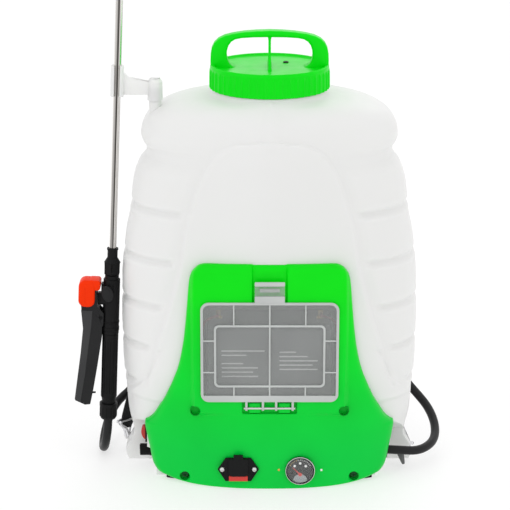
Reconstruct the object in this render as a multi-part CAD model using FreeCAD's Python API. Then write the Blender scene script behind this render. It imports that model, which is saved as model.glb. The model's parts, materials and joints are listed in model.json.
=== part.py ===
import FreeCAD, Part

# Backpack sprayer with a battery pump, in millimetres.
# +Z is up, the battery door faces -Y and the wearer's back is at +Y.
# The origin is on the ground, under the middle of the base.

import math
import os

from FreeCAD import Placement, Rotation
from FreeCAD import Vector as V

# ---------------------------------------------------------------- driving dimensions
TANK_FRONT = 100.0  # from the middle of the tank to its front wall
TANK_BACK = 95.0  # from the middle of the tank to the wearer's side
FRONT_SQUARENESS = 2.6  # superellipse exponent of the front half, in plan
BACK_SQUARENESS = 3.0
TANK_WALL = 3.0
# Half width of the tank at each height, from the foot to the shoulder.
TANK_SIDE = (
    (0, 178), (13, 181.5), (23, 177.5), (39, 170.3), (50, 172), (64, 175.5), (81, 177.7), (100, 178.5),
    (137, 181), (194, 182), (241, 181), (262, 180), (303, 175), (325, 170.5), (355, 167), (370, 164.5), (387, 159),
    (395, 153), (402, 149.5), (410, 149.5), (417, 153.7), (425, 156), (433, 155), (440, 152),
    (447.5, 147), (455, 138), (462, 125), (468, 107), (472, 86), (474, 68),
)
# Front and back reach, as a share of the full reach, over the foot and the shoulder.
REACH_SHARE = (
    (0, 0.90), (60, 0.91), (110, 0.95), (150, 1.0), (402, 1.0), (425, 0.975), (440, 0.94), (449, 0.90),
    (455, 0.85), (462, 0.76), (468, 0.66), (474, 0.50),
)
GROOVES = (340.0, 279.0, 222.0, 168.5, 119.0)  # heights of the ring grooves
GROOVE_DEPTH = 3.0
GROOVE_HALF_HEIGHT = 6.0

NECK_R = 61.0
NECK_BORE_R = 56.0
NECK_TOP = 497.0
COLLAR_R = 70.0
COLLAR_LOW = 462.0
COLLAR_TOP = 477.5

BAY = (-128, 128, -125, 30, -1, 108)  # the pump bay under the tank
BAY_WINGS = ((-148, -127, -66, -10, 37, 64), (-136, -127, -66, -10, -1, 38))  # behind the switch and the knob
RECESS = (-90, 90, -125, -28, 112, 268)  # the battery recess in the front wall
# Side view (y, z) of the hollow at each end of the bay, under the overhang of the tank's front corners.
NICHE = ((-100, -1), (3, -1), (3, 47), (-62, 71), (-100, 71))
CONTROL_SIDE = (-190, -152)  # across: the hollow for the switch and the speed knob
OUTLET_SIDE = (132, 190)  # across: the hollow where the hose leaves
KNOB_NICHE = (-153, -140, -90, -14, -1, 33)

COVER_FRONT = 110.0
COVER_HALF = 185.0  # half width of the superellipse that the cover is bent to
COVER_WALL = 3.0
COVER_TOP = 285.0
COVER_TOP_HALF = 83.0
# The cover's right-hand edge below its top corner, as half width and height.
COVER_EDGE = (
    (96.4, 265), (99, 235), (103, 194), (106, 174), (111, 152), (118.5, 131), (127.5, 110), (136, 94),
    (142.5, 83), (148, 76.5), (153.5, 72),
)
COVER_FOOT = ((152, 57), (148.5, 40), (144.5, 20), (138, 9.5), (122, 3.8))
COVER_SCREWS = ((-90, 101), (90, 101), (-104, 10), (104, 10))
COVER_SCREW_R = 2.0

DOOR_HALF = 83.0
DOOR_LOW = 114.0
DOOR_HIGH = 240.0
DOOR_BACK = -110.3
DOOR_FRONT = -113.3
DOOR_PIN = (-110.0, 105.0)  # y and z of the hinge pin
DOOR_PIN_R = 1.5
DOOR_ARMS = (-28.0, -8.0, 8.0, 28.0)
LATCH_HALF = 18.0
LATCH_ROOT = 241.0

SOCKET = (-38.0, 27.5)
GAUGE = (37.5, 24.5)
GAUGE_R = 18.0
ROCKER = (-45.0, 50.0)  # y and z of the rocker switch
KNOB = (-36.0, 22.0)
KNOB_R = 7.4

PUMP_Y = -15.0
PUMP_Z = 42.0
PUMP_MOTOR_R = 20.0
PUMP_MOUNTS = ((-26, -46), (-26, 16), (56, -46), (56, 16))  # x and y of the rubber feet

HOSE_D = 11.0
OUTLET_Y = -50.0
OUTLET_Z = 27.5
# Route of the spray hose: from the base outlet round the tank's back to the trigger handle.
HOSE_ROUTE = (
    (147, -50, 27.5), (167, -49.8, 26), (188, -42, 22.5), (205, -23, 24), (212.5, 1, 28), (212.5, 25, 37),
    (205.5, 48, 48), (193, 66, 58.5), (179, 80, 71), (166, 89, 93), (152, 95, 125), (136, 103, 166),
    (121, 108, 214), (104, 112, 262), (50, 113, 289.5), (-44, 113, 289), (-98, 112, 262), (-120, 109, 215),
    (-137, 104, 168), (-150, 97, 127), (-160, 92, 97), (-169, 86, 74), (-180.5, 79, 58.5), (-191.5, 72.5, 51),
    (-200.5, 64, 42), (-207.5, 54, 30), (-211.8, 42, 15.5), (-213, 26, 6.8), (-211.5, 6.5, 6.8),
    (-208, -10, 17), (-205.2, -18.6, 31.5), (-203.1, -20, 47), (-202.06, -20, 69.8),
)

HANDLE_FOOT = (-202.6, -20.0, 58.0)  # bottom of the hose nut, on the handle's axis
LEAN_DEG = 2.62  # lean of the handle and the lance towards the tank
GRIP_R = 10.0
LEVER_PIVOT = (-12.0, 134.8)  # across and along the handle's axis
LANCE_R = 4.5
LANCE_LENGTH = 600.0
LANCE_START = 200.0  # along the handle's axis, inside the lance nut
NOZZLE_AT = LANCE_START + LANCE_LENGTH  # where the lance's tip sits, along the handle's axis
NOZZLE_TILT = 40.0
CLIP_Z = 490.0
CLIP_POST = (-138.0, -13.0)

LID_R = 72.0
LID_LOW = 478.0
LID_HIGH = 507.0
LID_RIBS = 48
HANDLE_TOP = 548.0

# Side view of a shoulder pad, as y and z, from its lug on the tank down to its buckle.
STRAP_SIDE = (
    (100, 434), (124, 421), (148, 390), (160, 345), (163, 295), (157, 245), (146, 200), (138, 172),
)
STRAP_SPREAD_DEG = 9.0
PAD_HALF = 66.0
PAD_LOW = 112.0
PAD_HIGH = 282.0

# A strap's loose end: it lies flat against the tank's back corner, in a plane turned by CORNER_DEG.
CORNER_DEG = 36.87
TAIL_DEPTH = 165.0  # from the tank's middle to the strap's inner side
# y and z in that plane: the left end is pulled further forward than the right one.
STRAP_TAIL = {
    -1: ((41, 134), (-8, 113), (-45, 90), (-68, 64), (-79.5, 38), (-82, 30)),
    1: ((41, 134), (20, 112), (0, 88), (-18, 62), (-29.5, 38), (-32, 30)),
}
RING_DEPTH = 168.9
RING = ((-98.7, 37), (-85.5, 23), (-82, 11), (-76, 11), (-73, 23), (-63.7, 34))  # y and z, left side
RING_SHIFT = {-1: 0, 1: 50}

UP = V(0, 0, 1)


# ---------------------------------------------------------------- plain shapes
def box(x0, x1, y0, y1, z0, z1):
    return Part.makeBox(x1 - x0, y1 - y0, z1 - z0, V(x0, y0, z0))


def rod(radius, start, end):
    start, end = V(*start), V(*end)
    return Part.makeCylinder(radius, (end - start).Length, start, end - start)


def pipe(outer, inner, start, end):
    return rod(outer, start, end).cut(rod(inner, start, end))


def taper(r_start, r_end, start, end):
    start, end = V(*start), V(*end)
    return Part.makeCone(r_start, r_end, (end - start).Length, start, end - start)


def join(shapes):
    whole = shapes[0].fuse(list(shapes[1:]))
    return whole.removeSplitter()


def polygon(points):
    return Part.Face(Part.makePolygon([V(*p) for p in points] + [V(*points[0])]))


def side_prism(points, x0, x1):
    """A prism along X of an outline given as (y, z) points."""
    return polygon([(x0, y, z) for y, z in points]).extrude(V(x1 - x0, 0, 0))


def front_prism(points, y0, y1):
    """A prism along Y of an outline given as (x, z) points."""
    return polygon([(x, y0, z) for x, z in points]).extrude(V(0, y1 - y0, 0))


def rounded_rectangle(x0, x1, z0, z1, radius, y):
    """A rectangle in a plane of constant y, with rounded corners, as a face."""
    edges = []
    centres = ((x1 - radius, z1 - radius, 0), (x0 + radius, z1 - radius, 90),
               (x0 + radius, z0 + radius, 180), (x1 - radius, z0 + radius, 270))
    arcs = []
    for cx, cz, start in centres:
        marks = []
        for turn in (0, 45, 90):
            angle = math.radians(start + turn)
            marks.append(V(cx + radius * math.cos(angle), y, cz + radius * math.sin(angle)))
        arcs.append(marks)
    for index, marks in enumerate(arcs):
        edges.append(Part.Arc(*marks).toShape())
        following = arcs[(index + 1) % 4][0]
        edges.append(Part.LineSegment(marks[2], following).toShape())
    return Part.Face(Part.Wire(edges))


def plate(x0, x1, z0, z1, radius, y0, y1):
    return rounded_rectangle(x0, x1, z0, z1, radius, y0).extrude(V(0, y1 - y0, 0))


def toothed_disc(radius, depth, teeth, share, z0, z1):
    """A disc whose rim carries square ribs: share is the part of the pitch that a rib takes."""
    points = []
    for tooth in range(teeth):
        profile = ((0, radius - depth), (0.12, radius), (0.12 + share, radius), (0.24 + share, radius - depth))
        for turn, r in profile:
            angle = 2 * math.pi * (tooth + turn) / teeth
            points.append((r * math.cos(angle), r * math.sin(angle), z0))
    return polygon(points).extrude(V(0, 0, z1 - z0))


def route_wire(points):
    """Straight runs joined by tangent arcs, each as large as fits. Returns the wire and the radii."""
    marks = [V(*p) for p in points]
    edges, radii = [], []
    last = marks[0]
    for before, here, after in zip(marks, marks[1:], marks[2:]):
        arriving = (here - before).normalize()
        leaving = (after - here).normalize()
        turn = arriving.getAngle(leaving)
        reach = 0.45 * min((here - before).Length, (after - here).Length)
        radii.append(reach / math.tan(turn / 2))
        start = here - arriving * reach
        end = here + leaving * reach
        to_centre = (leaving - arriving).normalize()
        middle = here + to_centre * (radii[-1] / math.cos(turn / 2) - radii[-1])
        edges.append(Part.LineSegment(last, start).toShape())
        edges.append(Part.Arc(start, middle, end).toShape())
        last = end
    edges.append(Part.LineSegment(last, marks[-1]).toShape())
    return Part.Wire(edges), radii


def route_tube(points, diameter):
    wire, radii = route_wire(points)
    direction = V(*points[1]) - V(*points[0])
    ring = Part.Wire(Part.makeCircle(diameter / 2, V(*points[0]), direction))
    tube = wire.makePipeShell([ring], True, False)
    return tube, wire.Length, radii


def smoothed(value):
    value = min(1.0, max(0.0, value))
    return value * value * (3 - 2 * value)


def between(table, at):
    """Value of a (place, value) table at one place, along straight lines."""
    for (p0, v0), (p1, v1) in zip(table, table[1:]):
        if at <= p1:
            return v0 + (v1 - v0) * (at - p0) / (p1 - p0)
    return table[-1][1]


# ---------------------------------------------------------------- tank
def tank_ring(half, front, back, z):
    """One level outline of the tank: a superellipse, squarer at the wearer's side."""
    points = []
    steps = 36
    for step in range(steps):
        angle = 2 * math.pi * step / steps
        c, s = math.cos(angle), math.sin(angle)
        along = abs(c) ** (2 / FRONT_SQUARENESS)
        x = half * math.copysign(along, c)
        if s > 0:
            y = back * (1 - along ** BACK_SQUARENESS) ** (1 / BACK_SQUARENESS)
        else:
            y = -front * abs(s) ** (2 / FRONT_SQUARENESS)
        points.append(V(x, y, z))
    curve = Part.BSplineCurve()
    curve.interpolate(Points=points, PeriodicFlag=True)
    return Part.Wire(curve.toShape())


def tank_levels():
    """Heights and half widths of the outside, with a narrow waist at each groove."""
    levels = [(z, half, 0.0) for z, half in TANK_SIDE]
    for groove in GROOVES:
        levels = [level for level in levels if abs(level[0] - groove) > GROOVE_HALF_HEIGHT]
        for offset, depth in ((-GROOVE_HALF_HEIGHT, 0), (0, GROOVE_DEPTH), (GROOVE_HALF_HEIGHT, 0)):
            z = groove + offset
            levels.append((z, between(TANK_SIDE, z) - depth, depth * 0.6))
    return sorted(levels)


def tank_body(offset=0.0, low=-1.0, grooved=True):
    """The tank's outside grown by offset, as one solid from the given height up."""
    levels = tank_levels() if grooved else [(z, half, 0.0) for z, half in TANK_SIDE]
    rings = []
    for z, half, notch in levels:
        share = between(REACH_SHARE, z)
        if z >= low:
            rings.append(tank_ring(half + offset, TANK_FRONT * share + offset - notch,
                                   TANK_BACK * share + offset - notch, z))
    return Part.makeLoft(rings, True, True)


def shield():
    """The smooth raised field on the front wall, from the cover up to the shoulder."""
    half = ((145, 137), (135, 177), (125, 208), (117, 235), (105, 285), (101, 318), (93, 349), (84, 379),
            (73, 402), (59, 420), (40, 428))
    right = [V(x, -130, z) for x, z in half]
    left = [V(-x, -130, z) for x, z in reversed(half)]
    edge_right, edge_left = Part.BSplineCurve(), Part.BSplineCurve()
    edge_right.interpolate(right)
    edge_left.interpolate(left)
    edges = [edge_right.toShape(), Part.LineSegment(right[-1], left[0]).toShape(), edge_left.toShape(),
             Part.LineSegment(left[-1], right[0]).toShape()]
    outline = Part.Face(Part.Wire(edges)).extrude(V(0, 90, 0))
    return tank_body(2.0, grooved=False).common(outline)


def tank_lug(side):
    """A small lug low on the tank's back corner, and the hole that the strap's wire ring hangs in."""
    middle = (RING[2][0] + RING[3][0]) / 2 + RING_SHIFT[side]
    root = box(150, RING_DEPTH - 2.2, middle - 3.5, middle + 3.5, 5.5, 16.5)
    eye = rod(5.5, (RING_DEPTH, middle - 1.1, 11), (RING_DEPTH, middle + 1.1, 11))
    hole = rod(2.3, (RING_DEPTH, middle - 8, 11), (RING_DEPTH, middle + 8, 11))
    return at_corner(root.fuse(eye), side), at_corner(hole, side)


def niches(grow):
    """The hollows under the front corners, grown by the given amount."""
    middle_y = sum(y for y, _ in NICHE) / len(NICHE)
    profile = [(y + math.copysign(grow, y - middle_y), z + (grow if z > 0 else -grow)) for y, z in NICHE]
    return [side_prism(profile, x0 - grow, x1 + grow) for x0, x1 in (CONTROL_SIDE, OUTLET_SIDE)]


def tank_rooms(grow):
    """Everything that is cut out of the tank from below and from the front."""
    rooms = niches(grow)
    for x0, x1, y0, y1, z0, z1 in (BAY, *BAY_WINGS, RECESS, KNOB_NICHE):
        rooms.append(box(x0 - grow, x1 + grow, y0, y1 + grow, z0 - grow, z1 + grow))
    return rooms


def tank():
    outside = tank_body().fuse(shield())
    for side in (-1, 1):
        lug, hole = tank_lug(side)
        outside = outside.fuse(lug).cut(hole)
    post_x, post_y = CLIP_POST
    outside = outside.fuse(rod(7.5, (post_x, post_y, 430), (post_x, post_y, 480)))
    cavity = tank_body(-TANK_WALL, low=10)
    cavity.translate(V(0, 0, -TANK_WALL))
    cavity = cavity.cut(tank_rooms(TANK_WALL))
    body = outside.cut(cavity).cut(rod(COLLAR_R, (0, 0, COLLAR_LOW), (0, 0, 520)))
    body = body.cut(tank_rooms(0))
    body = body.cut(rod(8.0, (-100, 5, 100), (-100, 5, 118)))
    body = body.cut(rod(9.5, (120, OUTLET_Y, OUTLET_Z), (140, OUTLET_Y, OUTLET_Z)))
    body = body.cut(box(79, 89, -80, -60, 100, 115))
    body = body.cut(box(-154, -147, ROCKER[0] - 6, ROCKER[0] + 6, ROCKER[1] - 10.5, ROCKER[1] + 10.5))
    body = body.cut(rod(4.0, (-142, KNOB[0], KNOB[1]), (-134, KNOB[0], KNOB[1])))
    return body


def tank_neck():
    """The filler neck: a collar on the shoulder and a tube with two beads for the lid's thread."""
    pieces = [rod(COLLAR_R, (0, 0, COLLAR_LOW), (0, 0, COLLAR_TOP)),
              rod(NECK_R, (0, 0, COLLAR_TOP - 2), (0, 0, NECK_TOP))]
    for bead in (483.0, 490.0):
        pieces.append(rod(NECK_R + 1.8, (0, 0, bead - 1), (0, 0, bead + 1)))
    return join(pieces).cut(rod(NECK_BORE_R, (0, 0, 440), (0, 0, 520)))


def strainer():
    flange = pipe(60.5, 50, (0, 0, NECK_TOP), (0, 0, NECK_TOP + 1.5))
    wall = pipe(53, 51, (0, 0, 420), (0, 0, NECK_TOP + 1.5))
    floor = rod(53, (0, 0, 418), (0, 0, 420))
    basket = join([flange, wall, floor])
    for slot in range(18):
        cutter = box(40, 60, -3, 3, 432, 484)
        cutter.rotate(V(0, 0, 0), UP, slot * 20 + 10)
        basket = basket.cut(cutter)
    holes = []
    for ring_r, count in ((14, 6), (28, 12), (41, 18)):
        for hole in range(count):
            angle = 2 * math.pi * hole / count
            x, y = ring_r * math.cos(angle), ring_r * math.sin(angle)
            holes.append(rod(3, (x, y, 415), (x, y, 423)))
    return basket.cut(holes)


# ---------------------------------------------------------------- lid
def lid_handle():
    """A carrying loop across the lid, with a thin web under the middle of its bar."""
    depth = 9.0
    outer = [(-71, 497), (-71, 520), (-62, 538), (-42, 545.5), (0, HANDLE_TOP), (42, 545.5), (62, 538),
             (71, 520), (71, 497)]
    curve = Part.BSplineCurve()
    curve.interpolate([V(x, -depth, z) for x, z in outer[1:-1]])
    foot_left, foot_right = V(-71, -depth, 499), V(71, -depth, 499)
    edges = [Part.LineSegment(foot_left, V(-71, -depth, 520)).toShape(), curve.toShape(),
             Part.LineSegment(V(71, -depth, 520), foot_right).toShape(),
             Part.LineSegment(foot_right, foot_left).toShape()]
    loop = Part.Face(Part.Wire(edges)).extrude(V(0, 2 * depth, 0))
    opening = plate(-51, 51, 508, 540, 15.5, -40, 40)
    below = front_prism([(-44, 520), (44, 520), (38, 504), (-38, 504)], -40, 40)
    return loop.cut(opening).cut(below)


def lid():
    ribbed = toothed_disc(LID_R + 1.0, 1.4, LID_RIBS, 0.3, LID_LOW, LID_HIGH - 4)
    rim = rod(LID_R - 0.5, (0, 0, LID_HIGH - 4), (0, 0, LID_HIGH))
    shell = ribbed.fuse(rim)
    shell = shell.cut(rod(66.5, (0, 0, 504.2), (0, 0, LID_HIGH + 1)))
    web = side_prism([(-30, 503.5), (30, 503.5), (8, 542), (-8, 542)], -1.6, 1.6)
    whole = join([shell, lid_handle(), web])
    vent = rod(3.2, (20, 24, 495), (20, 24, 510))
    return whole.cut(rod(64.2, (0, 0, LID_LOW - 1), (0, 0, 501.2))).cut(vent)


def lid_seal():
    return pipe(60.5, 52, (0, 0, NECK_TOP + 1.7), (0, 0, 501.0))


def vent_valve():
    stem = rod(3.15, (20, 24, 500.5), (20, 24, 504.8))
    cap = rod(5.5, (20, 24, 499.2), (20, 24, 501.0))
    return join([stem, cap]).cut(rod(1.0, (20, 24, 499), (20, 24, 505)))


# ---------------------------------------------------------------- cover, door and battery
def cover_reach(x, z, inset):
    """How far forward the cover stands at one place; a larger inset gives its wall's inside."""
    exponent = 2.2 + 0.8 * smoothed(z / 200)
    share = max(0.0, 1 - (abs(x) / (COVER_HALF - inset)) ** exponent)
    return (COVER_FRONT - inset) * share ** (1 / exponent)


def cover_slab(inset, behind):
    """A solid whose front is the cover's curved front and whose back is flat."""
    rings = []
    for z in (-5, 40, 90, 140, 200, 300):
        points = [V(x, -cover_reach(x, z, inset), z) for x in range(-168, 169, 14)]
        curve = Part.BSplineCurve()
        curve.interpolate(points)
        corner_right, corner_left = V(168, behind, z), V(-168, behind, z)
        edges = [curve.toShape(), Part.LineSegment(points[-1], corner_right).toShape(),
                 Part.LineSegment(corner_right, corner_left).toShape(),
                 Part.LineSegment(corner_left, points[0]).toShape()]
        rings.append(Part.Wire(edges))
    return Part.makeLoft(rings, True, True)


def cover_outline(inset, y0, y1):
    """The cover's outline seen from the front, moved inwards by inset, as a prism along Y."""
    radius = 18.0 - inset
    top = COVER_TOP - inset
    right = [V(x - inset, y0, z) for x, z in COVER_EDGE]
    foot = [V(x - inset, y0, z + (inset if z < 5 else 0)) for x, z in COVER_FOOT]
    low = inset
    edges = []
    for side in (1, -1):
        mirrored = [V(side * p.x, p.y, p.z) for p in right]
        below = [V(side * p.x, p.y, p.z) for p in foot]
        flank = Part.BSplineCurve()
        flank.interpolate(mirrored)
        start = V(side * (COVER_TOP_HALF - 8), y0, top)
        shoulder = Part.BezierCurve()
        shoulder.setPoles([start, V(side * (COVER_TOP_HALF + 8 - inset), y0, top),
                           V(side * (COVER_TOP_HALF + 12.4 - inset), y0, top - radius * 0.45), mirrored[0]])
        edges.append(Part.LineSegment(V(0, y0, top), start).toShape())
        edges.append(shoulder.toShape())
        edges.append(flank.toShape())
        foot_curve = Part.BSplineCurve()
        foot_curve.interpolate([mirrored[-1]] + below)
        edges.append(foot_curve.toShape())
        sole = Part.BezierCurve()
        sole.setPoles([below[-1], V(side * 90, y0, low), V(side * 50, y0, low), V(0, y0, low)])
        edges.append(sole.toShape())
    wire = Part.Wire(Part.__sortEdges__(edges))
    return Part.Face(wire).extrude(V(0, y1 - y0, 0))


def base_cover():
    whole = cover_slab(0, -50).common(cover_outline(0, -160, -50))
    pad = plate(-90, 90, 96, 279, 12, -COVER_FRONT, -100)
    whole = whole.fuse(pad)
    hollow = cover_slab(COVER_WALL + 3, -40).common(cover_outline(COVER_WALL, -160, -40))
    shell = whole.cut(hollow)
    shell = shell.cut(tank_body(2.5, grooved=False))
    shell = shell.cut(plate(-80, 80, 117, 237, 8, -130, -60))
    shell = shell.cut(box(-20, 20, -120, -106.5, 236, 300))
    shell = shell.cut(box(-33, 33, -120, -105.5, 97, 118))
    for x in (-18, 18):
        shell = shell.fuse(box(x - 6.5, x + 6.5, -109.8, -104.5, 98.5, 111.5))
    shell = shell.cut(rod(DOOR_PIN_R, (-60, *DOOR_PIN), (60, *DOOR_PIN)))
    shell = shell.fuse(box(-15, 15, -108, -105.5, 258, 262))
    socket_x, socket_z = SOCKET
    shell = shell.cut(box(socket_x - 13, socket_x + 13, -125, -60, socket_z - 14, socket_z + 12))
    gauge_x, gauge_z = GAUGE
    shell = shell.cut(rod(15.0, (gauge_x, -130, gauge_z), (gauge_x, -60, gauge_z)))
    shell = shell.cut([rod(1.5, (socket_x + sx, -130, socket_z - 1), (socket_x + sx, -60, socket_z - 1))
                       for sx in (-19.5, 19.5)])
    shell = shell.cut([rod(COVER_SCREW_R + 0.05, (x, -130, z), (x, -50, z)) for x, z in COVER_SCREWS])
    wells = []
    for x, z in COVER_SCREWS:
        front = -cover_reach(x, z, 0)
        well = pipe(7.0, COVER_SCREW_R + 0.05, (x, front + 3, z), (x, front + 12, z))
        well = well.cut(rod(5.0, (x, front - 5, z), (x, front + 9, z)))
        wells.append(well)
        shell = shell.cut(rod(5.0, (x, front - 12, z), (x, front + 9, z)))
    return shell.fuse(wells).removeSplitter()


def cover_screws():
    screws = []
    for x, z in COVER_SCREWS:
        front = -cover_reach(x, z, 0)
        head = rod(3.8, (x, front + 6.2, z), (x, front + 9, z))
        shank = rod(COVER_SCREW_R, (x, front + 9, z), (x, front + 24, z))
        cross = box(x - 2.2, x + 2.2, front + 5, front + 7.6, z - 0.5, z + 0.5)
        cross = cross.fuse(box(x - 0.5, x + 0.5, front + 5, front + 7.6, z - 2.2, z + 2.2))
        screws.append(head.fuse(shank).cut(cross))
    return screws


def battery_door():
    """A ribbed translucent lid over the battery, with four hinge arms below."""
    door = plate(-DOOR_HALF, DOOR_HALF, DOOR_LOW, DOOR_HIGH, 10, DOOR_FRONT, DOOR_BACK)
    inner = DOOR_HALF - 3
    field = plate(-inner, inner, DOOR_LOW + 3, DOOR_HIGH - 3, 8, DOOR_FRONT - 1, DOOR_FRONT + 1)
    door = door.cut(field)
    frame = plate(-66.5, 66.5, 133, 212, 6, DOOR_FRONT, DOOR_FRONT + 1.5)
    frame = frame.cut(plate(-64, 64, 135.5, 209.5, 4.5, DOOR_FRONT - 1, DOOR_FRONT + 2))
    ribs = [frame, box(-0.9, 0.9, DOOR_FRONT, DOOR_FRONT + 1.5, DOOR_LOW + 2, DOOR_HIGH - 2)]
    for x in (-43, 43):
        ribs.append(box(x - 0.9, x + 0.9, DOOR_FRONT, DOOR_FRONT + 1.5, DOOR_LOW + 2, 134))
        ribs.append(box(x - 0.9, x + 0.9, DOOR_FRONT, DOOR_FRONT + 1.5, 211, DOOR_HIGH - 2))
    for z in (152, 192):
        ribs.append(box(-DOOR_HALF + 2, -65, DOOR_FRONT, DOOR_FRONT + 1.5, z - 0.9, z + 0.9))
        ribs.append(box(65, DOOR_HALF - 2, DOOR_FRONT, DOOR_FRONT + 1.5, z - 0.9, z + 0.9))
    for x in DOOR_ARMS:
        eye = rod(3.0, (x - 1.5, *DOOR_PIN), (x + 1.5, *DOOR_PIN))
        arm = box(x - 1.5, x + 1.5, DOOR_FRONT + 0.4, DOOR_BACK - 0.2, DOOR_PIN[1], DOOR_LOW + 1)
        pin_y, pin_z = DOOR_PIN
        arm_back = box(x - 1.5, x + 1.5, DOOR_FRONT + 0.4, pin_y + 0.5, pin_z - 1, pin_z + 3)
        ribs += [eye, arm, arm_back]
    door = join([door] + ribs)
    return door.cut(rod(DOOR_PIN_R + 0.06, (-60, *DOOR_PIN), (60, *DOOR_PIN)))


def door_pin():
    return rod(DOOR_PIN_R, (-31, *DOOR_PIN), (31, *DOOR_PIN))


def door_latch():
    """The sprung tongue that holds the door shut, with a finger lip along its top."""
    tongue = box(-LATCH_HALF, LATCH_HALF, DOOR_FRONT + 0.6, -111.2, LATCH_ROOT - 0.6, 265)
    lip = rod(2.6, (-LATCH_HALF, -114.6, 264), (LATCH_HALF, -114.6, 264))
    bead = rod(1.2, (-LATCH_HALF, -112.6, 247), (LATCH_HALF, -112.6, 247))
    hook = side_prism([(-111.4, 252), (-109.2, 254.5), (-109.2, 257.2), (-111.4, 257.2)], -12, 12)
    return join([tongue, lip, bead, hook])


def battery():
    case = box(-75.5, 75.5, -98, -33, 112.3, 202)
    case = case.makeFillet(2.0, case.Edges)
    lid_plate = box(-73, 73, -96, -35, 201, 206.3)
    return join([case, lid_plate])


def battery_terminals():
    tabs = []
    for x in (-62, 62):
        foot = box(x - 5, x + 5, -72, -62, 206.3, 207.3)
        blade = box(x - 3, x + 3, -67.4, -66.6, 207.3, 216)
        tabs.append(foot.fuse(blade))
    return Part.makeCompound(tabs)


# ---------------------------------------------------------------- controls
def socket_outline(grow, y0, y1):
    x, z = SOCKET
    points = ((25.2, 0), (15.5, 14.5), (-15.5, 14.5), (-25.2, 0), (-15.5, -15.5), (15.5, -15.5))
    return front_prism([(x + px * grow, z - 1 + pz * grow) for px, pz in points], y0, y1)


def charge_socket():
    x, z = SOCKET
    flange = socket_outline(1.0, -113.0, -110.1)
    well = box(x - 12.5, x + 12.5, -111, -84, z - 13.5, z + 11.5)
    body = flange.fuse(well)
    body = body.cut(box(x - 11, x + 11, -120, -87, z - 12, z + 8))
    body = body.cut(box(x - 4.2, x + 4.2, -114, -112, z + 10, z + 18))
    for sx in (-19.5, 19.5):
        body = body.cut(rod(1.5, (x + sx, -120, z - 1), (x + sx, -100, z - 1)))
    return body.removeSplitter()


def socket_insert():
    x, z = SOCKET
    block = box(x - 10.8, x + 10.8, -113.05, -88, z - 11.8, z + 7.8)
    block = block.fuse(box(x - 11.5, x + 11.5, -114.3, -113.05, z - 16, z - 9.8))
    for px in (-5, 5):
        block = block.cut(rod(2.2, (x + px, -115, z), (x + px, -95, z)))
    return block


def socket_flap():
    x, z = SOCKET
    leaf = box(x - 12, x + 12, -115.6, -113.3, z - 9.5, z + 13)
    belly = rod(26, (x, -120, z + 15.5), (x, -100, z + 15.5))
    leaf = leaf.common(belly)
    tab = box(x - 5.8, x + 5.8, -115.6, -113.3, z + 12, z + 18.5)
    eye = rod(1.6, (x - 3.8, -113.4, z + 15.5), (x + 3.8, -113.4, z + 15.5))
    return join([leaf, tab, eye])


def socket_screws():
    x, z = SOCKET
    screws = []
    for sx in (-19.5, 19.5):
        head = Part.makeSphere(3.4, V(x + sx, -112.2, z - 1)).common(box(-200, 200, -120, -113, 0, 60))
        slot = box(x + sx - 3, x + sx + 3, -118, -114.6, z - 1.4, z - 0.6)
        screws.append(head.cut(slot).fuse(rod(1.45, (x + sx, -113, z - 1), (x + sx, -100, z - 1))))
    return screws


def gauge_shapes():
    """The voltage gauge: case, dial plate, needle and lens, in that order."""
    x, z = GAUGE
    case = rod(GAUGE_R, (x, -113.4, z), (x, -110.1, z)).fuse(rod(14.8, (x, -111, z), (x, -88, z)))
    case = case.cut(rod(GAUGE_R - 1.6, (x, -114, z), (x, -111.4, z)))
    case = case.cut(rod(13, (x, -112, z), (x, -90, z)))
    ledge = pipe(14.8, 5, (x, -97, z), (x, -95, z))
    dial = rod(16.2, (x, -111.9, z), (x, -111.45, z)).cut(rod(1.05, (x, -113, z - 5), (x, -110, z - 5)))
    staff = rod(1.0, (x, -112.5, z - 5), (x, -97.2, z - 5))
    hub = rod(2.4, (x, -112.5, z - 5), (x, -112.0, z - 5))
    outline = [(x - 0.9, z - 5), (x + 0.9, z - 5), (x + 0.25, z + 8), (x - 0.25, z + 8)]
    pointer = front_prism(outline, -112.4, -112.0)
    pointer.rotate(V(x, 0, z - 5), V(0, 1, 0), -45)
    lens = rod(16.2, (x, -113.3, z), (x, -112.7, z))
    return case.fuse(ledge).removeSplitter(), dial, join([staff, hub, pointer]), lens


def rocker_shapes():
    y, z = ROCKER
    rim = box(-154.5, -152.1, y - 7.5, y + 7.5, z - 12, z + 12)
    rim = rim.fuse(box(-153, -136, y - 5.8, y + 5.8, z - 10.3, z + 10.3))
    rim = rim.cut(box(-160, -140, y - 4.6, y + 4.6, z - 9.3, z + 9.3))
    body = rod(14.0, (-145.5, y - 4.3, z), (-145.5, y + 4.3, z))
    body = body.common(box(-160, -148, y - 4.3, y + 4.3, z - 8.3, z + 8.3))
    body.rotate(V(-149.5, y, z), V(0, 1, 0), -8)
    return rim, body


def speed_control():
    y, z = KNOB
    can = box(-135.8, -129, y - 8, y + 8, z - 8, z + 8)
    bush = pipe(3.9, 3.1, (-145, y, z), (-135.8, y, z))
    return can.fuse(bush)


def speed_knob():
    y, z = KNOB
    knob = toothed_disc(KNOB_R, 0.6, 20, 0.35, 0, 14.5)
    knob.rotate(V(0, 0, 0), V(0, 1, 0), -90)
    knob.translate(V(-147.5, y, z))
    skirt = rod(KNOB_R + 0.6, (-149.5, y, z), (-147.5, y, z))
    pointer = box(-162.5, -162.0, y - 0.6, y + 0.6, z, z + 6.5)
    shaft = rod(3.0, (-149, y, z), (-137, y, z))
    return join([knob, skirt, pointer, shaft])


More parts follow.
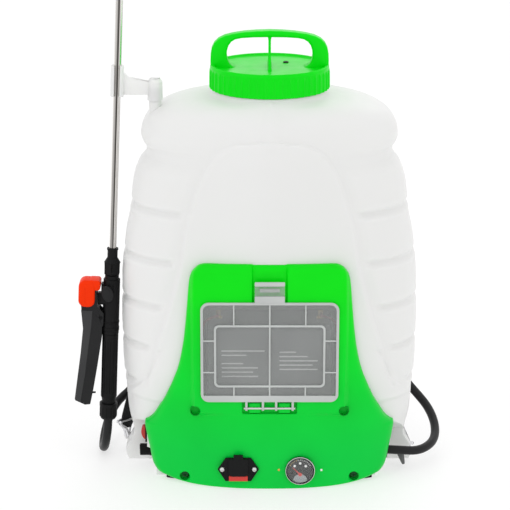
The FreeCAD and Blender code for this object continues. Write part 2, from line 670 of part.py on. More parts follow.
# ---------------------------------------------------------------- pump bay
def base_plate():
    tray = tank_body(1.5, grooved=False).common(box(-127.5, 127.5, -78, 29.5, 0, 4))
    ribs = [box(-60, 70, y - 1.5, y + 1.5, 3, 8) for y in (-26, -4)]
    return join([tray] + ribs)


def pump_shapes():
    """Motor, cam housing, valve head and shaft of the diaphragm pump, along X."""
    y, z = PUMP_Y, PUMP_Z
    motor = rod(PUMP_MOTOR_R, (6, y, z), (68, y, z)).fuse(rod(8, (67, y, z), (72, y, z)))
    motor = motor.cut(rod(2.6, (0, y, z), (60, y, z)))
    housing = box(-24, 6, y - 26, y + 26, z - 26, z + 26)
    housing = housing.makeFillet(5, [e for e in housing.Edges if abs(e.tangentAt(e.FirstParameter).x) > 0.9])
    foot = box(-30, 60, y - 36, y + 36, 11, 14).fuse(box(-24, 6, y - 18, y + 18, 13, 17))
    cradle = box(20, 50, y - 8, y + 8, 13, z - 10).cut(rod(PUMP_MOTOR_R, (6, y, z), (68, y, z)))
    housing = join([housing, foot, cradle])
    housing = housing.cut(rod(19, (-20, y, z), (4, y, z)))
    housing = housing.cut(rod(2.6, (3, y, z), (7, y, z)))
    housing = housing.cut(motor)
    for px, py in PUMP_MOUNTS:
        housing = housing.cut(rod(3.0, (px, py, 10), (px, py, 15)))
    head = box(-44, -24.2, y - 25, y + 25, z - 25, z + 25)
    head = head.makeFillet(6, [e for e in head.Edges if abs(e.tangentAt(e.FirstParameter).x) > 0.9])
    ports = []
    for py, pz in ((5, 52), (-30, 30)):
        ports.append(rod(5.8, (-50, py, pz), (-44, py, pz)))
        ports.append(rod(4.0, (-57.8, py, pz), (-44, py, pz)))
    head = join([head] + ports)
    head = head.cut([rod(2.2, (-58, py, pz), (-35, py, pz)) for py, pz in ((5, 52), (-30, 30))])
    spindle = rod(2.55, (-4, y, z), (58, y, z))
    cam = rod(15, (-14, y + 1.5, z), (-4, y + 1.5, z))
    return motor, housing, head, join([spindle, cam])


def pump_mounts():
    mounts = []
    for px, py in PUMP_MOUNTS:
        pad = pipe(6, 1.6, (px, py, 4), (px, py, 11))
        waist = pipe(2.9, 1.6, (px, py, 11), (px, py, 14))
        brim = pipe(4.6, 1.6, (px, py, 14), (px, py, 16))
        mounts.append(join([pad, waist, brim]))
    return Part.makeCompound(mounts)


def pump_screws():
    screws = []
    for px, py in PUMP_MOUNTS:
        screws.append(join([rod(3.2, (px, py, 16), (px, py, 18)), rod(1.55, (px, py, 4.2), (px, py, 16))]))
    return Part.makeCompound(screws)


def pressure_switch():
    body = rod(7, (-34, PUMP_Y, PUMP_Z + 25), (-34, PUMP_Y, PUMP_Z + 37))
    tabs = box(-38, -37, PUMP_Y - 2, PUMP_Y + 2, PUMP_Z + 36, PUMP_Z + 44)
    return join([body, tabs, box(-31, -30, PUMP_Y - 2, PUMP_Y + 2, PUMP_Z + 36, PUMP_Z + 44)])


def tank_outlet():
    spout = pipe(7.9, 3, (-100, 5, 104), (-100, 5, 114))
    flange = pipe(12, 3, (-100, 5, 104), (-100, 5, 108))
    barb = pipe(4.0, 3, (-100, 5, 90), (-100, 5, 104))
    return join([spout, flange, barb])


def suction_hose():
    points = ((-100, 5, 103.8), (-100, 5, 52), (-50.2, 5, 52))
    tube, _, _ = route_tube(points, 11)
    bore, _, _ = route_tube(points, 8.1)
    return tube.cut(bore)


def delivery_hose():
    points = ((-50.2, -30, 30), (-92, -30, 30), (-92, -68, 22), (-50, -70, 16), (30, -68, 14),
              (84, OUTLET_Y, OUTLET_Z), (122.8, OUTLET_Y, OUTLET_Z))
    tube, _, _ = route_tube(points, 10)
    bore, _, _ = route_tube(points, 8.1)
    return tube.cut(bore)


def outlet_connector():
    y, z = OUTLET_Y, OUTLET_Z
    return join([
        pipe(4.0, 2.5, (112, y, z), (146, y, z)),
        pipe(8.9, 2.5, (126, y, z), (134, y, z)),
        pipe(8.9 + 2.4, 2.5, (123.2, y, z), (127.9, y, z)).common(box(120, 130, -80, -30, 4.1, 40)),
    ])


def outlet_nut():
    nut = toothed_disc(10.2, 0.8, 14, 0.4, 0, 13)
    nut.rotate(V(0, 0, 0), V(0, 1, 0), 90)
    nut.translate(V(134.2, OUTLET_Y, OUTLET_Z))
    return nut.cut(rod(HOSE_D / 2 + 0.05, (130, OUTLET_Y, OUTLET_Z), (160, OUTLET_Y, OUTLET_Z)))


def wiring():
    """Two insulated leads: battery to switch, and battery to pump motor."""
    feeds = (
        ((62, -72, 211), (80, -76, 207), (84, -72, 160), (84, -70, 110), (84, -50, 84), (82, -30, 50),
         (74.5, PUMP_Y - 3, 42)),
        ((-62, -72, 211), (-80, -80, 207), (-84, -82, 160), (-84, -84, 114.5)),
    )
    return Part.makeCompound([route_tube(points, 3.0)[0] for points in feeds])


# ---------------------------------------------------------------- trigger handle and lance
def place_on_handle(shape):
    """Moves a shape made along +Z from the origin onto the leaning axis of the handle."""
    moved = shape.copy()
    moved.Placement = Placement(V(*HANDLE_FOOT), Rotation(V(0, 1, 0), LEAN_DEG)).multiply(moved.Placement)
    return moved


def axis_rod(radius, low, high):
    return rod(radius, (0, 0, low), (0, 0, high))


def hose_nut():
    nut = toothed_disc(11.0, 0.8, 12, 0.5, 3, 17)
    nut = join([nut, taper(9.0, 10.4, (0, 0, 0), (0, 0, 3)), axis_rod(11.3, 17, 21)])
    return nut.cut(axis_rod(HOSE_D / 2 + 0.1, -1, 12)).cut(axis_rod(8.6, 12, 22))


def handle_grip():
    grip = axis_rod(GRIP_R, 30, 113)
    neck = axis_rod(8.5, 12.2, 30)
    collar = taper(8.5, GRIP_R, (0, 0, 25), (0, 0, 31))
    flutes = []
    for flute in range(14):
        angle = 2 * math.pi * flute / 14
        x, y = (GRIP_R + 0.7) * math.cos(angle), (GRIP_R + 0.7) * math.sin(angle)
        flutes.append(rod(1.4, (x, y, 36), (x, y, 104)))
    return join([grip, neck, collar]).cut(flutes).cut(axis_rod(4.0, 12, 114))


def handle_body():
    tube = axis_rod(10.3, 113.2, 184)
    neck = axis_rod(8.6, 184, 189)
    thread = axis_rod(6.4, 189, 200)
    band = axis_rod(10.7, 118, 122).fuse(axis_rod(10.7, 128, 130))
    lug = box(-17, -6, -4.5, 4.5, LEVER_PIVOT[1] - 6, LEVER_PIVOT[1] + 6)
    boss = Part.makeCylinder(7.0, 14, V(-4, -14, 168), V(0, 1, 0))
    slab = box(-12, 0, -12.5, -4, 155, 176)
    body = join([tube, neck, thread, band, lug, boss, slab])
    body = body.cut(axis_rod(6.0, 122, 180)).cut(axis_rod(3.5, 112, 201))
    return body.cut(rod(2.0, (LEVER_PIVOT[0], -20, LEVER_PIVOT[1]), (LEVER_PIVOT[0], 20, LEVER_PIVOT[1])))


def trigger_lever():
    """The squeeze lever: a channel, open towards the grip, with its two cheeks on the pivot."""
    outline = ((-36.6, 172), (-36.6, 149), (-33.2, 120), (-35.4, 88), (-41.6, 25), (-29, 19.5),
               (-22.4, 20.5), (-19.8, 36), (-15.8, 65), (-11.0, 104), (-8.5, 128), (-8.5, 141), (-17, 150),
               (-17, 165), (-20, 172))
    channel = ((-34, 147), (-30.6, 120), (-32.6, 88), (-38.2, 32), (-10, 28), (0, 104), (0, 147))
    lever = front_prism(outline, -9, 9).cut(front_prism(channel, -6.5, 6.5))
    pivot_x, pivot_z = LEVER_PIVOT
    lever = lever.cut(axis_rod(13.4, 60, 124)).cut(axis_rod(11.4, 120, 186))
    lever = lever.cut(rod(2.06, (pivot_x, -20, pivot_z), (pivot_x, 20, pivot_z)))
    stub = rod(1.2, (-24, 0, 33), (-16.5, 0, 33.6))
    return join([lever, stub, box(-37.6, -24, -6.6, 6.6, 30, 36)])


def trigger_pin():
    pivot_x, pivot_z = LEVER_PIVOT
    return rod(2.0, (pivot_x, -9.6, pivot_z), (pivot_x, 9.6, pivot_z))


def lock_knob():
    """The slide that locks the lever in: a cap over the lever's head with a lip towards the body."""
    cap = plate(-40.2, -19.6, 148.5, 183, 8.5, -11.6, 11.6)
    lip = plate(-28, -13.2, 170.5, 183.4, 3, -8, 8)
    cap = join([cap, lip])
    return cap.cut(box(-37.0, -16.6, -9.3, 9.3, 140, 177.5))


def valve_rod():
    return join([axis_rod(2.4, 126, 172), axis_rod(5.2, 172, 176), axis_rod(4.4, 140, 143)])


def valve_spring():
    turns, pitch, radius, wire_r, marks = 6, 4.0, 4.2, 0.45, 12
    points = []
    for step in range(turns * marks + 1):
        angle = 2 * math.pi * step / marks
        points.append(V(radius * math.cos(angle), radius * math.sin(angle), 145.5 + pitch * step / marks))
    curve = Part.BSplineCurve()
    curve.interpolate(points)
    ring = Part.Wire(Part.makeCircle(wire_r, points[0], curve.tangent(curve.FirstParameter)[0]))
    return Part.Wire(curve.toShape()).makePipeShell([ring], True, False)


def lance_nut():
    points = []
    for corner in range(6):
        angle = math.pi / 6 + corner * math.pi / 3
        points.append((10.6 * math.cos(angle), 10.6 * math.sin(angle), 190.5))
    hexagon = polygon(points).extrude(V(0, 0, 15))
    shoulder = taper(10.2, 6.6, (0, 0, 205), (0, 0, 211))
    collar = axis_rod(6.3, 209, 222).fuse(axis_rod(7.0, 221, 223.5))
    nut = join([hexagon.common(axis_rod(10.3, 190, 206)), shoulder, collar])
    return nut.cut(axis_rod(6.5, 190, 200.2)).cut(axis_rod(LANCE_R, 200, 224))


def lance_tube():
    return axis_rod(LANCE_R, 200.4, LANCE_START + LANCE_LENGTH).cut(axis_rod(3.4, 199, 900))


def tilt_at_tip(shape):
    moved = shape.copy()
    tip = V(0, 0, NOZZLE_AT + 6)
    moved.Placement = Placement(tip, Rotation(V(1, 0, 0), NOZZLE_TILT)).multiply(moved.Placement)
    return moved


def nozzle_elbow():
    sleeve = axis_rod(7.0, NOZZLE_AT - 24, NOZZLE_AT + 4)
    knuckle = Part.makeSphere(7.4, V(0, 0, NOZZLE_AT + 6))
    spigot = tilt_at_tip(axis_rod(6.0, 0, 16))
    thread = tilt_at_tip(axis_rod(5.0, 16, 26))
    elbow = join([sleeve, knuckle, spigot, thread])
    elbow = elbow.cut(axis_rod(LANCE_R, NOZZLE_AT - 25, NOZZLE_AT))
    return elbow.cut(axis_rod(2, NOZZLE_AT - 1, NOZZLE_AT + 6)).cut(tilt_at_tip(axis_rod(2, 0, 27)))


def nozzle_cap():
    cap = toothed_disc(9.0, 0.7, 18, 0.4, 17, 31)
    cap = join([cap, taper(8.2, 5.4, (0, 0, 31), (0, 0, 35))])
    return tilt_at_tip(cap.cut(axis_rod(5.06, 16, 28)).cut(axis_rod(0.8, 27, 36)))


def nozzle_seal():
    return tilt_at_tip(Part.makeTorus(4.1, 0.7, V(0, 0, 26.8)))


def lance_clip():
    """A C-shaped grip that the lance snaps into from the front, on an arm pushed over the tank's post."""
    along = (CLIP_Z - HANDLE_FOOT[2]) / math.cos(math.radians(LEAN_DEG))
    ring = axis_rod(8.0, along - 19, along + 19).cut(axis_rod(LANCE_R + 0.05, along - 20, along + 20))
    ring = ring.cut(box(-3.4, 3.4, -12, 0, along - 20, along + 20))
    ring = place_on_handle(ring)
    post_x, post_y = CLIP_POST
    grip_x = HANDLE_FOOT[0] + along * math.sin(math.radians(LEAN_DEG))
    outline = ((grip_x + 7, 472), (post_x, 472), (post_x, 487.5), (grip_x + 14, 494), (grip_x + 7, 500))
    arm = front_prism(outline, -17.5, -12.5)
    socket = rod(9.2, (post_x, post_y, 465), (post_x, post_y, 488)).fuse(
        taper(9.2, 6.0, (post_x, post_y, 488), (post_x, post_y, 492)))
    clip = join([ring, arm, socket])
    return clip.cut(rod(7.5, (post_x, post_y, 455), (post_x, post_y, 480)))


# ---------------------------------------------------------------- carrying harness
def band(points, thickness, x0, x1):
    """A flat band along X whose side view follows (y, z) points, with rounded ends left square."""
    marks = [V(0, y, z) for y, z in points]
    left, right = [], []
    for index, mark in enumerate(marks):
        ahead = marks[min(index + 1, len(marks) - 1)]
        behind = marks[max(index - 1, 0)]
        along = (ahead - behind).normalize()
        across = V(0, -along.z, along.y) * (thickness / 2)
        left.append(mark + across)
        right.append(mark - across)
    sides = []
    for row in (left, list(reversed(right))):
        curve = Part.BSplineCurve()
        curve.interpolate(row)
        sides.append(curve.toShape())
    caps = [Part.LineSegment(left[-1], right[-1]).toShape(), Part.LineSegment(right[0], left[0]).toShape()]
    face = Part.Face(Part.Wire([sides[0], caps[0], sides[1], caps[1]]))
    face.translate(V(x0, 0, 0))
    return face.extrude(V(x1 - x0, 0, 0))


def shoulder_pad(side):
    pad = band(STRAP_SIDE, 12, -28, 28)
    pad.rotate(V(0, 0, 436), V(0, 1, 0), side * STRAP_SPREAD_DEG * -1)
    pad.translate(V(side * 58, 0, 0))
    return pad


def back_pad():
    return plate(-PAD_HALF, PAD_HALF, PAD_LOW, PAD_HIGH, 40, 97, 117)


def strap_anchors():
    """Two moulded lugs on the tank's back that the shoulder pads are buckled to."""
    lugs = []
    for side in (-1, 1):
        x = side * 58
        lug = box(x - 24, x + 24, 75, 96.5, 424, 440)
        lugs.append(lug.cut(tank_body(0.1, grooved=False)))
    return Part.makeCompound(lugs)


def buckle_place(side):
    return V(side * 101, 137, 160)


def strap_buckles():
    buckles = []
    for side in (-1, 1):
        at = buckle_place(side)
        frame = box(at.x - 20, at.x + 20, at.y - 3, at.y + 3, at.z - 12, at.z + 10)
        windows = [box(at.x - 16, at.x + 16, at.y - 5, at.y + 5, at.z - 8, at.z - 3),
                   box(at.x - 16, at.x + 16, at.y - 5, at.y + 5, at.z + 1, at.z + 6)]
        buckles.append(frame.cut(windows))
    return Part.makeCompound(buckles)


def at_corner(shape, side):
    """Turns a shape from plain axes, with X outwards, to the flat on the tank's back corner."""
    moved = shape.copy()
    moved.rotate(V(0, 0, 0), UP, CORNER_DEG)
    return moved if side > 0 else moved.mirror(V(0, 0, 0), V(1, 0, 0))


def webbing(side):
    """A flat strap from the buckle down to the wire ring at the foot."""
    return at_corner(band(STRAP_TAIL[side], 28, TAIL_DEPTH, TAIL_DEPTH + 1.8), side)


def wire_loop(points, radius):
    """Round wire bent to a closed polygon."""
    pieces = []
    for start, end in zip(points, points[1:] + points[:1]):
        pieces.append(rod(radius, start, end))
        pieces.append(Part.makeSphere(radius, V(*start)))
    return join(pieces)


def strap_hooks():
    """A bent wire ring at each side of the foot, held in an eye on the tank."""
    rings = []
    for side in (-1, 1):
        ring = wire_loop([(RING_DEPTH, y + RING_SHIFT[side], z) for y, z in RING], 1.8)
        rings.append(at_corner(ring, side))
    return Part.makeCompound(rings)


# ---------------------------------------------------------------- all nodes
def spray_hose():
    tube, length, radii = route_tube(HOSE_ROUTE, HOSE_D)
    print("hose length", round(length, 1), "radii", [round(r) for r in radii])
    print("volume share", round(tube.Volume / (math.pi * (HOSE_D / 2) ** 2 * length), 4))
    return tube


def nodes():
    gauge_case, gauge_dial, gauge_needle, gauge_lens = gauge_shapes()
    rocker_housing, rocker = rocker_shapes()
    motor, housing, head, shaft = pump_shapes()
    on_handle = {
        "hose_nut": hose_nut(), "handle_grip": handle_grip(), "handle_body": handle_body(),
        "trigger_lever": trigger_lever(), "trigger_pin": trigger_pin(), "lock_knob": lock_knob(),
        "valve_rod": valve_rod(), "valve_spring": valve_spring(), "lance_nut": lance_nut(),
        "lance_tube": lance_tube(), "nozzle_elbow": nozzle_elbow(), "nozzle_cap": nozzle_cap(),
        "nozzle_seal": nozzle_seal(),
    }
    upright = {
        "tank": tank(), "tank_neck": tank_neck(), "strainer_basket": strainer(), "lid": lid(),
        "lid_seal": lid_seal(), "vent_valve": vent_valve(), "base_cover": base_cover(),
        "front_screws": Part.makeCompound(cover_screws() + socket_screws()),
        "battery_door": battery_door(), "door_hinge_pin": door_pin(), "door_latch": door_latch(),
        "battery": battery(), "battery_terminals": battery_terminals(), "charge_socket": charge_socket(),
        "socket_insert": socket_insert(), "socket_flap": socket_flap(),
        "gauge_case": gauge_case, "gauge_dial": gauge_dial, "gauge_needle": gauge_needle,
        "gauge_lens": gauge_lens, "rocker_housing": rocker_housing, "rocker_switch": rocker,
        "speed_control": speed_control(), "speed_knob": speed_knob(), "base_plate": base_plate(),
        "pump_motor": motor, "pump_housing": housing, "pump_head": head, "pump_shaft": shaft,
        "pump_mounts": pump_mounts(), "pump_screws": pump_screws(), "pressure_switch": pressure_switch(),
        "tank_outlet": tank_outlet(), "suction_hose": suction_hose(), "delivery_hose": delivery_hose(),
        "outlet_connector": outlet_connector(), "outlet_nut": outlet_nut(), "wiring": wiring(),
        "spray_hose": spray_hose(), "lance_clip": lance_clip(), "back_pad": back_pad(),
        "strap_anchors": strap_anchors(), "shoulder_pad_left": shoulder_pad(-1),
        "shoulder_pad_right": shoulder_pad(1), "webbing": Part.makeCompound([webbing(-1), webbing(1)]),
        "strap_buckles": strap_buckles(), "strap_hooks": strap_hooks(),
    }
    upright.update({name: place_on_handle(shape) for name, shape in on_handle.items()})
    return upright


def main():
    os.makedirs("parts", exist_ok=True)
    for name, shape in nodes().items():
        shape.exportStep(f"parts/{name}.step")
        solids = len(shape.Solids)
        print(f"{name:20s} valid {shape.isValid()} solids {solids} volume {shape.Volume / 1000:.2f} cm3")


main()
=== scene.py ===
"""Backpack sprayer: the looks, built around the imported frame. Lengths in the tables are in millimetres."""

import json
import math

import bmesh
import bpy
from mathutils import Matrix, Vector


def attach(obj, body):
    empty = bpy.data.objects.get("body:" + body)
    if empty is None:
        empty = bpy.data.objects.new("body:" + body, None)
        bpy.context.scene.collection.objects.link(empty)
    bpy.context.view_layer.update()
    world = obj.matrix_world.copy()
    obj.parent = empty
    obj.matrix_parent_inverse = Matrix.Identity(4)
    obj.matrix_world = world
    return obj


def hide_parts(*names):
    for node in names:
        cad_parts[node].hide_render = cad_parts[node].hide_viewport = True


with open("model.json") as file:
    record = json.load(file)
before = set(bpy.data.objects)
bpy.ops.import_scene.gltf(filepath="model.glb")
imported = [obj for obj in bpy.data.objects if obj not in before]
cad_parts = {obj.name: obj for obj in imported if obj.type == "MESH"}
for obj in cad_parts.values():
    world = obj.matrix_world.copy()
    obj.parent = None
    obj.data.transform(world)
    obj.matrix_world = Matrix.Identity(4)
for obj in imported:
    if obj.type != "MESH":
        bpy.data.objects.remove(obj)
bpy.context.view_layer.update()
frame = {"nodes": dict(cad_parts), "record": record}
nodes = frame["nodes"]
scene = bpy.context.scene
MM = 0.001

# ------------------------------------------------------------------ driving dimensions
# As in the CAD, apart from the top of TANK_SIDE, which is lower near the collar, and NICHE.
TANK_FRONT = 100.0
TANK_BACK = 95.0
TANK_SIDE = (
    (0, 178), (13, 181.5), (23, 177.5), (39, 170.3), (50, 172), (64, 175.5), (81, 177.7), (100, 178.5),
    (137, 181), (194, 182), (241, 181), (262, 180), (303, 175), (325, 170.5), (355, 167), (370, 164.5), (387, 159),
    (395, 153), (402, 149.5), (410, 149.5), (417, 153.7), (425, 156), (433, 155), (440, 152),
    (447.5, 147), (455, 138), (461.3, 125), (465.8, 107), (468.8, 86), (470.2, 76), (471.6, 72), (474, 71),
)
REACH_SHARE = (
    (0, 0.90), (60, 0.91), (110, 0.95), (150, 1.0), (402, 1.0), (425, 0.975), (440, 0.94), (449, 0.905),
    (455, 0.868), (462, 0.815), (468, 0.765), (472, 0.725), (474, 0.705),
)
GROOVES = (340.0, 279.0, 222.0, 168.5, 119.0)
SHIELD_EDGE = (
    (100, 175), (137, 145), (177, 135), (208, 125), (235, 117), (285, 105), (318, 101), (349, 93),
    (379, 84), (402, 73), (420, 59), (428, 40), (431, 1),
)
COVER_FRONT, COVER_HALF, COVER_TOP = 110.0, 185.0, 285.0
COVER_SIDE = (
    (0.0, 62), (0.6, 92), (1.6, 108), (3.8, 122), (9.5, 138), (20, 144.5), (40, 148.5), (57, 152), (70, 153.7),
    (72.4, 153.2), (75, 149.9), (77.5, 147.2), (83, 142.5), (94, 136), (110, 127.5), (131, 118.5), (152, 111),
    (174, 106), (194, 103), (235, 99), (262, 96.6),
    (268, 95.4), (274, 93), (279, 89.3), (282.5, 85), (284.4, 80), (285, 74),
)
COVER_SCREWS = ((-90, 101), (90, 101), (-104, 10), (104, 10))
DOOR_PIN = (-110.0, 105.0)
SOCKET = (-38.0, 27.5)
GAUGE = (37.5, 24.5)
HANDLE_FOOT = (-202.6, -20.0, 58.0)
LEAN = math.radians(2.62)
HOSE_D = 11.0
HOSE_ROUTE = (
    (147, -50, 27.5), (167, -49.8, 26), (188, -42, 22.5), (205, -23, 24), (212.5, 1, 28), (212.5, 25, 37),
    (205.5, 48, 48), (193, 66, 58.5), (179, 80, 71), (166, 89, 93), (152, 95, 125), (136, 103, 166),
    (121, 108, 214), (104, 112, 262), (50, 113, 289.5), (-44, 113, 289), (-98, 112, 262), (-120, 109, 215),
    (-137, 104, 168), (-150, 97, 127), (-160, 92, 97), (-169, 86, 74), (-180.5, 79, 58.5), (-191.5, 72.5, 51),
    (-200.5, 64, 42), (-207.5, 54, 30), (-211.8, 42, 15.5), (-213, 26, 6.8), (-211.5, 6.5, 6.8),
    (-208, -10, 17), (-205.2, -18.6, 31.5), (-203.1, -20, 47), (-202.06, -20, 69.8),
)
STRAP_SIDE = (
    (100, 434), (124, 421), (148, 390), (160, 345), (163, 295), (157, 245), (146, 200), (138, 172),
)
STRAP_SPREAD = math.radians(9.0)
# Shallower than the CAD's, so that the foot looks continuous.
NICHE = {
    -1: ((-140, -3), (-12, -3), (-27, 61), (-62, 71), (-140, 71)),
    1: ((-140, -3), (-12, -3), (-20, 44), (-62, 71), (-140, 71)),
}
CORNER = math.radians(36.87)
TAIL_DEPTH = 165.9
STRAP_TAIL = {
    -1: ((41, 134), (-8, 113), (-45, 90), (-68, 64), (-79.5, 38), (-82, 30), (-83, 24)),
    1: ((41, 134), (20, 112), (0, 88), (-18, 62), (-29.5, 38), (-32, 30), (-33, 24)),
}
RING_SHIFT = {-1: 0, 1: 50}
RING_DEPTH = 168.9
RING = ((-98.7, 37), (-85.5, 23), (-82, 11), (-76, 11), (-73, 23), (-63.7, 34))
PAD_HALF, PAD_LOW, PAD_HIGH, PAD_BACK = 66.0, 112.0, 282.0, 97.0
PAD_VOXEL, PAD_PRESSURE, CLOTH_FRAMES = 4.5, 4.0, 20
SHOULDER_CAP, BACK_CAP = 2.4, 3.0
STITCH, STITCH_OUT = 3, 7.75
STRAP_PIVOT_Z, STRAP_APART, WEBBING = 436, 58, 28
PAD_RADIUS, PAD_SEAM_INSET, PAD_FACE = 40.0, 15, PAD_BACK + 8
RIB_FRONT, RIB_BACK = -113.0, -112.0
DIAL_FRONT, DIAL_BACK = -112.25, -111.85
FINE_ROWS, PLAIN_ROWS = 1.5, 2.6
FOOT_SCREW_X = 0.08
CROWN_LOW, TANK_TOP = 455, 474
TANK_STEPS = 300
FACE_Y = 110.0
INNER_COLUMNS = 88.0
TURN = 2 * math.pi

# ------------------------------------------------------------------ camera, light and floor
def placed(name, data):
    """An object of the scene that shows the given data."""
    obj = bpy.data.objects.new(name, data)
    scene.collection.objects.link(obj)
    return obj


camera = placed("camera", bpy.data.cameras.new("camera"))
camera.data.lens = 142.3
camera.data.sensor_width = 36.0
camera.location = (-0.0176, -2.3958, 0.9802)
camera.rotation_euler = (math.radians(90 - 16.6), 0, 0)
scene.camera = camera


def area_light(name, place, aim, size, power):
    light = bpy.data.lights.new(name, "AREA")
    light.shape = "RECTANGLE"
    light.size, light.size_y = size
    light.energy = power
    obj = placed(name, light)
    obj.location = place
    obj.rotation_euler = (Vector(aim) - Vector(place)).to_track_quat("-Z", "Y").to_euler()


area_light("key_light", (-1.3, -1.6, 1.7), (0, 0, 0.25), (1.0, 1.0), 2.4)
area_light("fill_light", (1.5, -1.3, 1.1), (0, 0, 0.25), (0.5, 1.4), 1.2)
area_light("top_light", (0, 0.2, 2.2), (0, 0, 0.2), (1.4, 1.4), 1.3)
area_light("back_light", (0.4, 1.9, 1.4), (0, 0, 0.25), (1.2, 1.2), 3.0)

world = bpy.data.worlds.new("studio")
scene.world = world
world.use_nodes = True
sky = world.node_tree.nodes["Background"].inputs
sky["Color"].default_value = (1, 1, 1, 1)
sky["Strength"].default_value = 1.0
scene.view_settings.view_transform = "Standard"


# ------------------------------------------------------------------ materials
def tune(node, **sockets):
    """Sets input sockets by name, with _ for a space."""
    for socket, value in sockets.items():
        node.inputs[socket.replace("_", " ")].default_value = value


def add_node(tree, kind, vector=None, **sockets):
    made = tree.nodes.new("ShaderNode" + kind)
    tune(made, **sockets)
    if vector:
        tree.links.new(vector, made.inputs["Vector"])
    return made


def node_material(name, color, rough, metallic=0.0, specular=0.5):
    """A Principled material with its node tree, the shader and its shared coordinates."""
    material = bpy.data.materials.new(name)
    material.use_nodes = True
    tree = material.node_tree
    shader = tree.nodes["Principled BSDF"]
    tune(shader, Base_Color=(*color, 1), Roughness=rough, Metallic=metallic, Specular_IOR_Level=specular)
    material.diffuse_color = (*color, 1)
    return material, tree, shader, add_node(tree, "TexCoord").outputs["Object"]


def noise(tree, place, scale, detail=3.0, stretch=None):
    if stretch:
        place = add_node(tree, "Mapping", place, Scale=stretch).outputs["Vector"]
    return add_node(tree, "TexNoise", place, Scale=scale, Detail=detail).outputs["Fac"]


def spread(tree, value, low=0, high=1):
    """Maps the middle of a noise's range to another range."""
    reach = add_node(tree, "MapRange", From_Min=0.3, From_Max=0.7, To_Min=low, To_Max=high)
    tree.links.new(value, reach.inputs["Value"])
    return reach.outputs["Result"]


def two_tones(tree, value, first, second):
    mix = add_node(tree, "Mix")
    mix.data_type = "RGBA"
    tune(mix, A=(*first, 1), B=(*second, 1))
    tree.links.new(value, mix.inputs["Factor"])
    return mix.outputs["Result"]


def paint(tree, shader, value, first, second):
    tree.links.new(two_tones(tree, value, first, second), shader.inputs["Base Color"])


def polish(tree, shader, value, low, high):
    tree.links.new(spread(tree, value, low, high), shader.inputs["Roughness"])


def raise_by(tree, shader, height, strength, distance):
    bump = add_node(tree, "Bump", Strength=strength, Distance=distance)
    tree.links.new(height, bump.inputs["Height"])
    tree.links.new(bump.outputs["Normal"], shader.inputs["Normal"])


def darker(color, share):
    return [c * share for c in color]


def moulded(name, color, rough, grain=0.15, specular=0.5, shade=0.9, alpha=1.0, soft=0.0):
    """Moulded plastic: a fine grain, slow changes of tone and uneven gloss."""
    material, tree, shader, place = node_material(name, color, rough, specular=specular)
    paint(tree, shader, spread(tree, noise(tree, place, 18)), color, darker(color, shade))
    polish(tree, shader, noise(tree, place, 60), rough * 0.88, rough * 1.12)
    raise_by(tree, shader, noise(tree, place, 1400), grain, 0.0002)
    tune(shader, Alpha=alpha)
    if soft:
        tune(shader, Subsurface_Weight=soft, Subsurface_Radius=(0.012, 0.012, 0.011), Subsurface_Scale=1.0)
    return material


def green_look():
    """Glossy green plastic, with painted shade: lighter at the top, a little deeper and bluer towards the foot."""
    material, tree, shader, place = node_material("green_plastic", GREEN, 0.34, specular=0.12)
    # Painted shade: the base colour is darker and bluer at the foot and lighter at the top.
    split = add_node(tree, "SeparateXYZ", place)
    reach = add_node(tree, "MapRange", From_Min=0.04, From_Max=0.25)
    tree.links.new(split.outputs["Z"], reach.inputs["Value"])
    tone = two_tones(tree, reach.outputs["Result"], (0.0, 0.60, 0.055), (0.0, 0.76, 0.006))
    mix = add_node(tree, "Mix")
    mix.data_type = "RGBA"
    mix.blend_type = "MULTIPLY"
    tune(mix, B=(0.93, 0.93, 0.93, 1))
    tree.links.new(spread(tree, noise(tree, place, 18)), mix.inputs["Factor"])
    tree.links.new(tone, mix.inputs["A"])
    tree.links.new(mix.outputs["Result"], shader.inputs["Base Color"])
    polish(tree, shader, noise(tree, place, 60), 0.30, 0.38)
    raise_by(tree, shader, noise(tree, place, 1400), 0.08, 0.0002)
    return material


def metal(name, color, rough, drawn=(1, 1, 1), grain=0.05):
    """Metal with fine drawn marks along one direction."""
    material, tree, shader, place = node_material(name, color, rough, metallic=1.0)
    marks = noise(tree, place, 500, 4, drawn)
    polish(tree, shader, marks, rough * 0.75, rough * 1.3)
    raise_by(tree, shader, marks, grain, 0.0001)
    paint(tree, shader, spread(tree, noise(tree, place, 40)), color, darker(color, 0.9))
    return material


def drawn_tube_with_painted_reflections():
    """Polished stainless tube: long light and dark bands of painted reflection in its colour along its length, over
    fine drawn marks.
    """
    material, tree, shader, place = node_material("stainless", (0.6, 0.57, 0.54), 0.18, metallic=1.0)
    place = add_node(tree, "Mapping", place, Rotation=(0, -LEAN, 0)).outputs["Vector"]
    # Painted reflections: light and dark bands in the base colour along the tube.
    painted_reflection_streaks = noise(tree, place, 430, 1, (1, 1, 0.002))
    paint(tree, shader, spread(tree, painted_reflection_streaks), (0.04, 0.035, 0.03), (0.98, 0.95, 0.92))
    marks = noise(tree, place, 900, 4, (1, 1, 0.03))
    polish(tree, shader, marks, 0.13, 0.26)
    raise_by(tree, shader, marks, 0.06, 0.0001)
    return material


def woven(name, color, thread=900.0, sheen=0.3):
    """Woven fabric: two crossing sets of threads, with a little sheen."""
    material, tree, shader, place = node_material(name, color, 0.85, specular=0.25)
    weave = add_node(tree, "Math")
    weave.operation = "MAXIMUM"
    for index, turn in enumerate((0.0, math.pi / 2)):
        across = add_node(tree, "Mapping", place, Rotation=(0.0, turn + 0.35, 0.3)).outputs["Vector"]
        wave = add_node(tree, "TexWave", across, Scale=thread / 6.2832, Distortion=0.6)
        tree.links.new(wave.outputs["Fac"], weave.inputs[index])
    paint(tree, shader, weave.outputs[0], darker(color, 0.45), darker(color, 1.5))
    raise_by(tree, shader, weave.outputs[0], 0.6, 0.0005)
    tune(shader, Sheen_Weight=sheen, Sheen_Roughness=0.4)
    return material


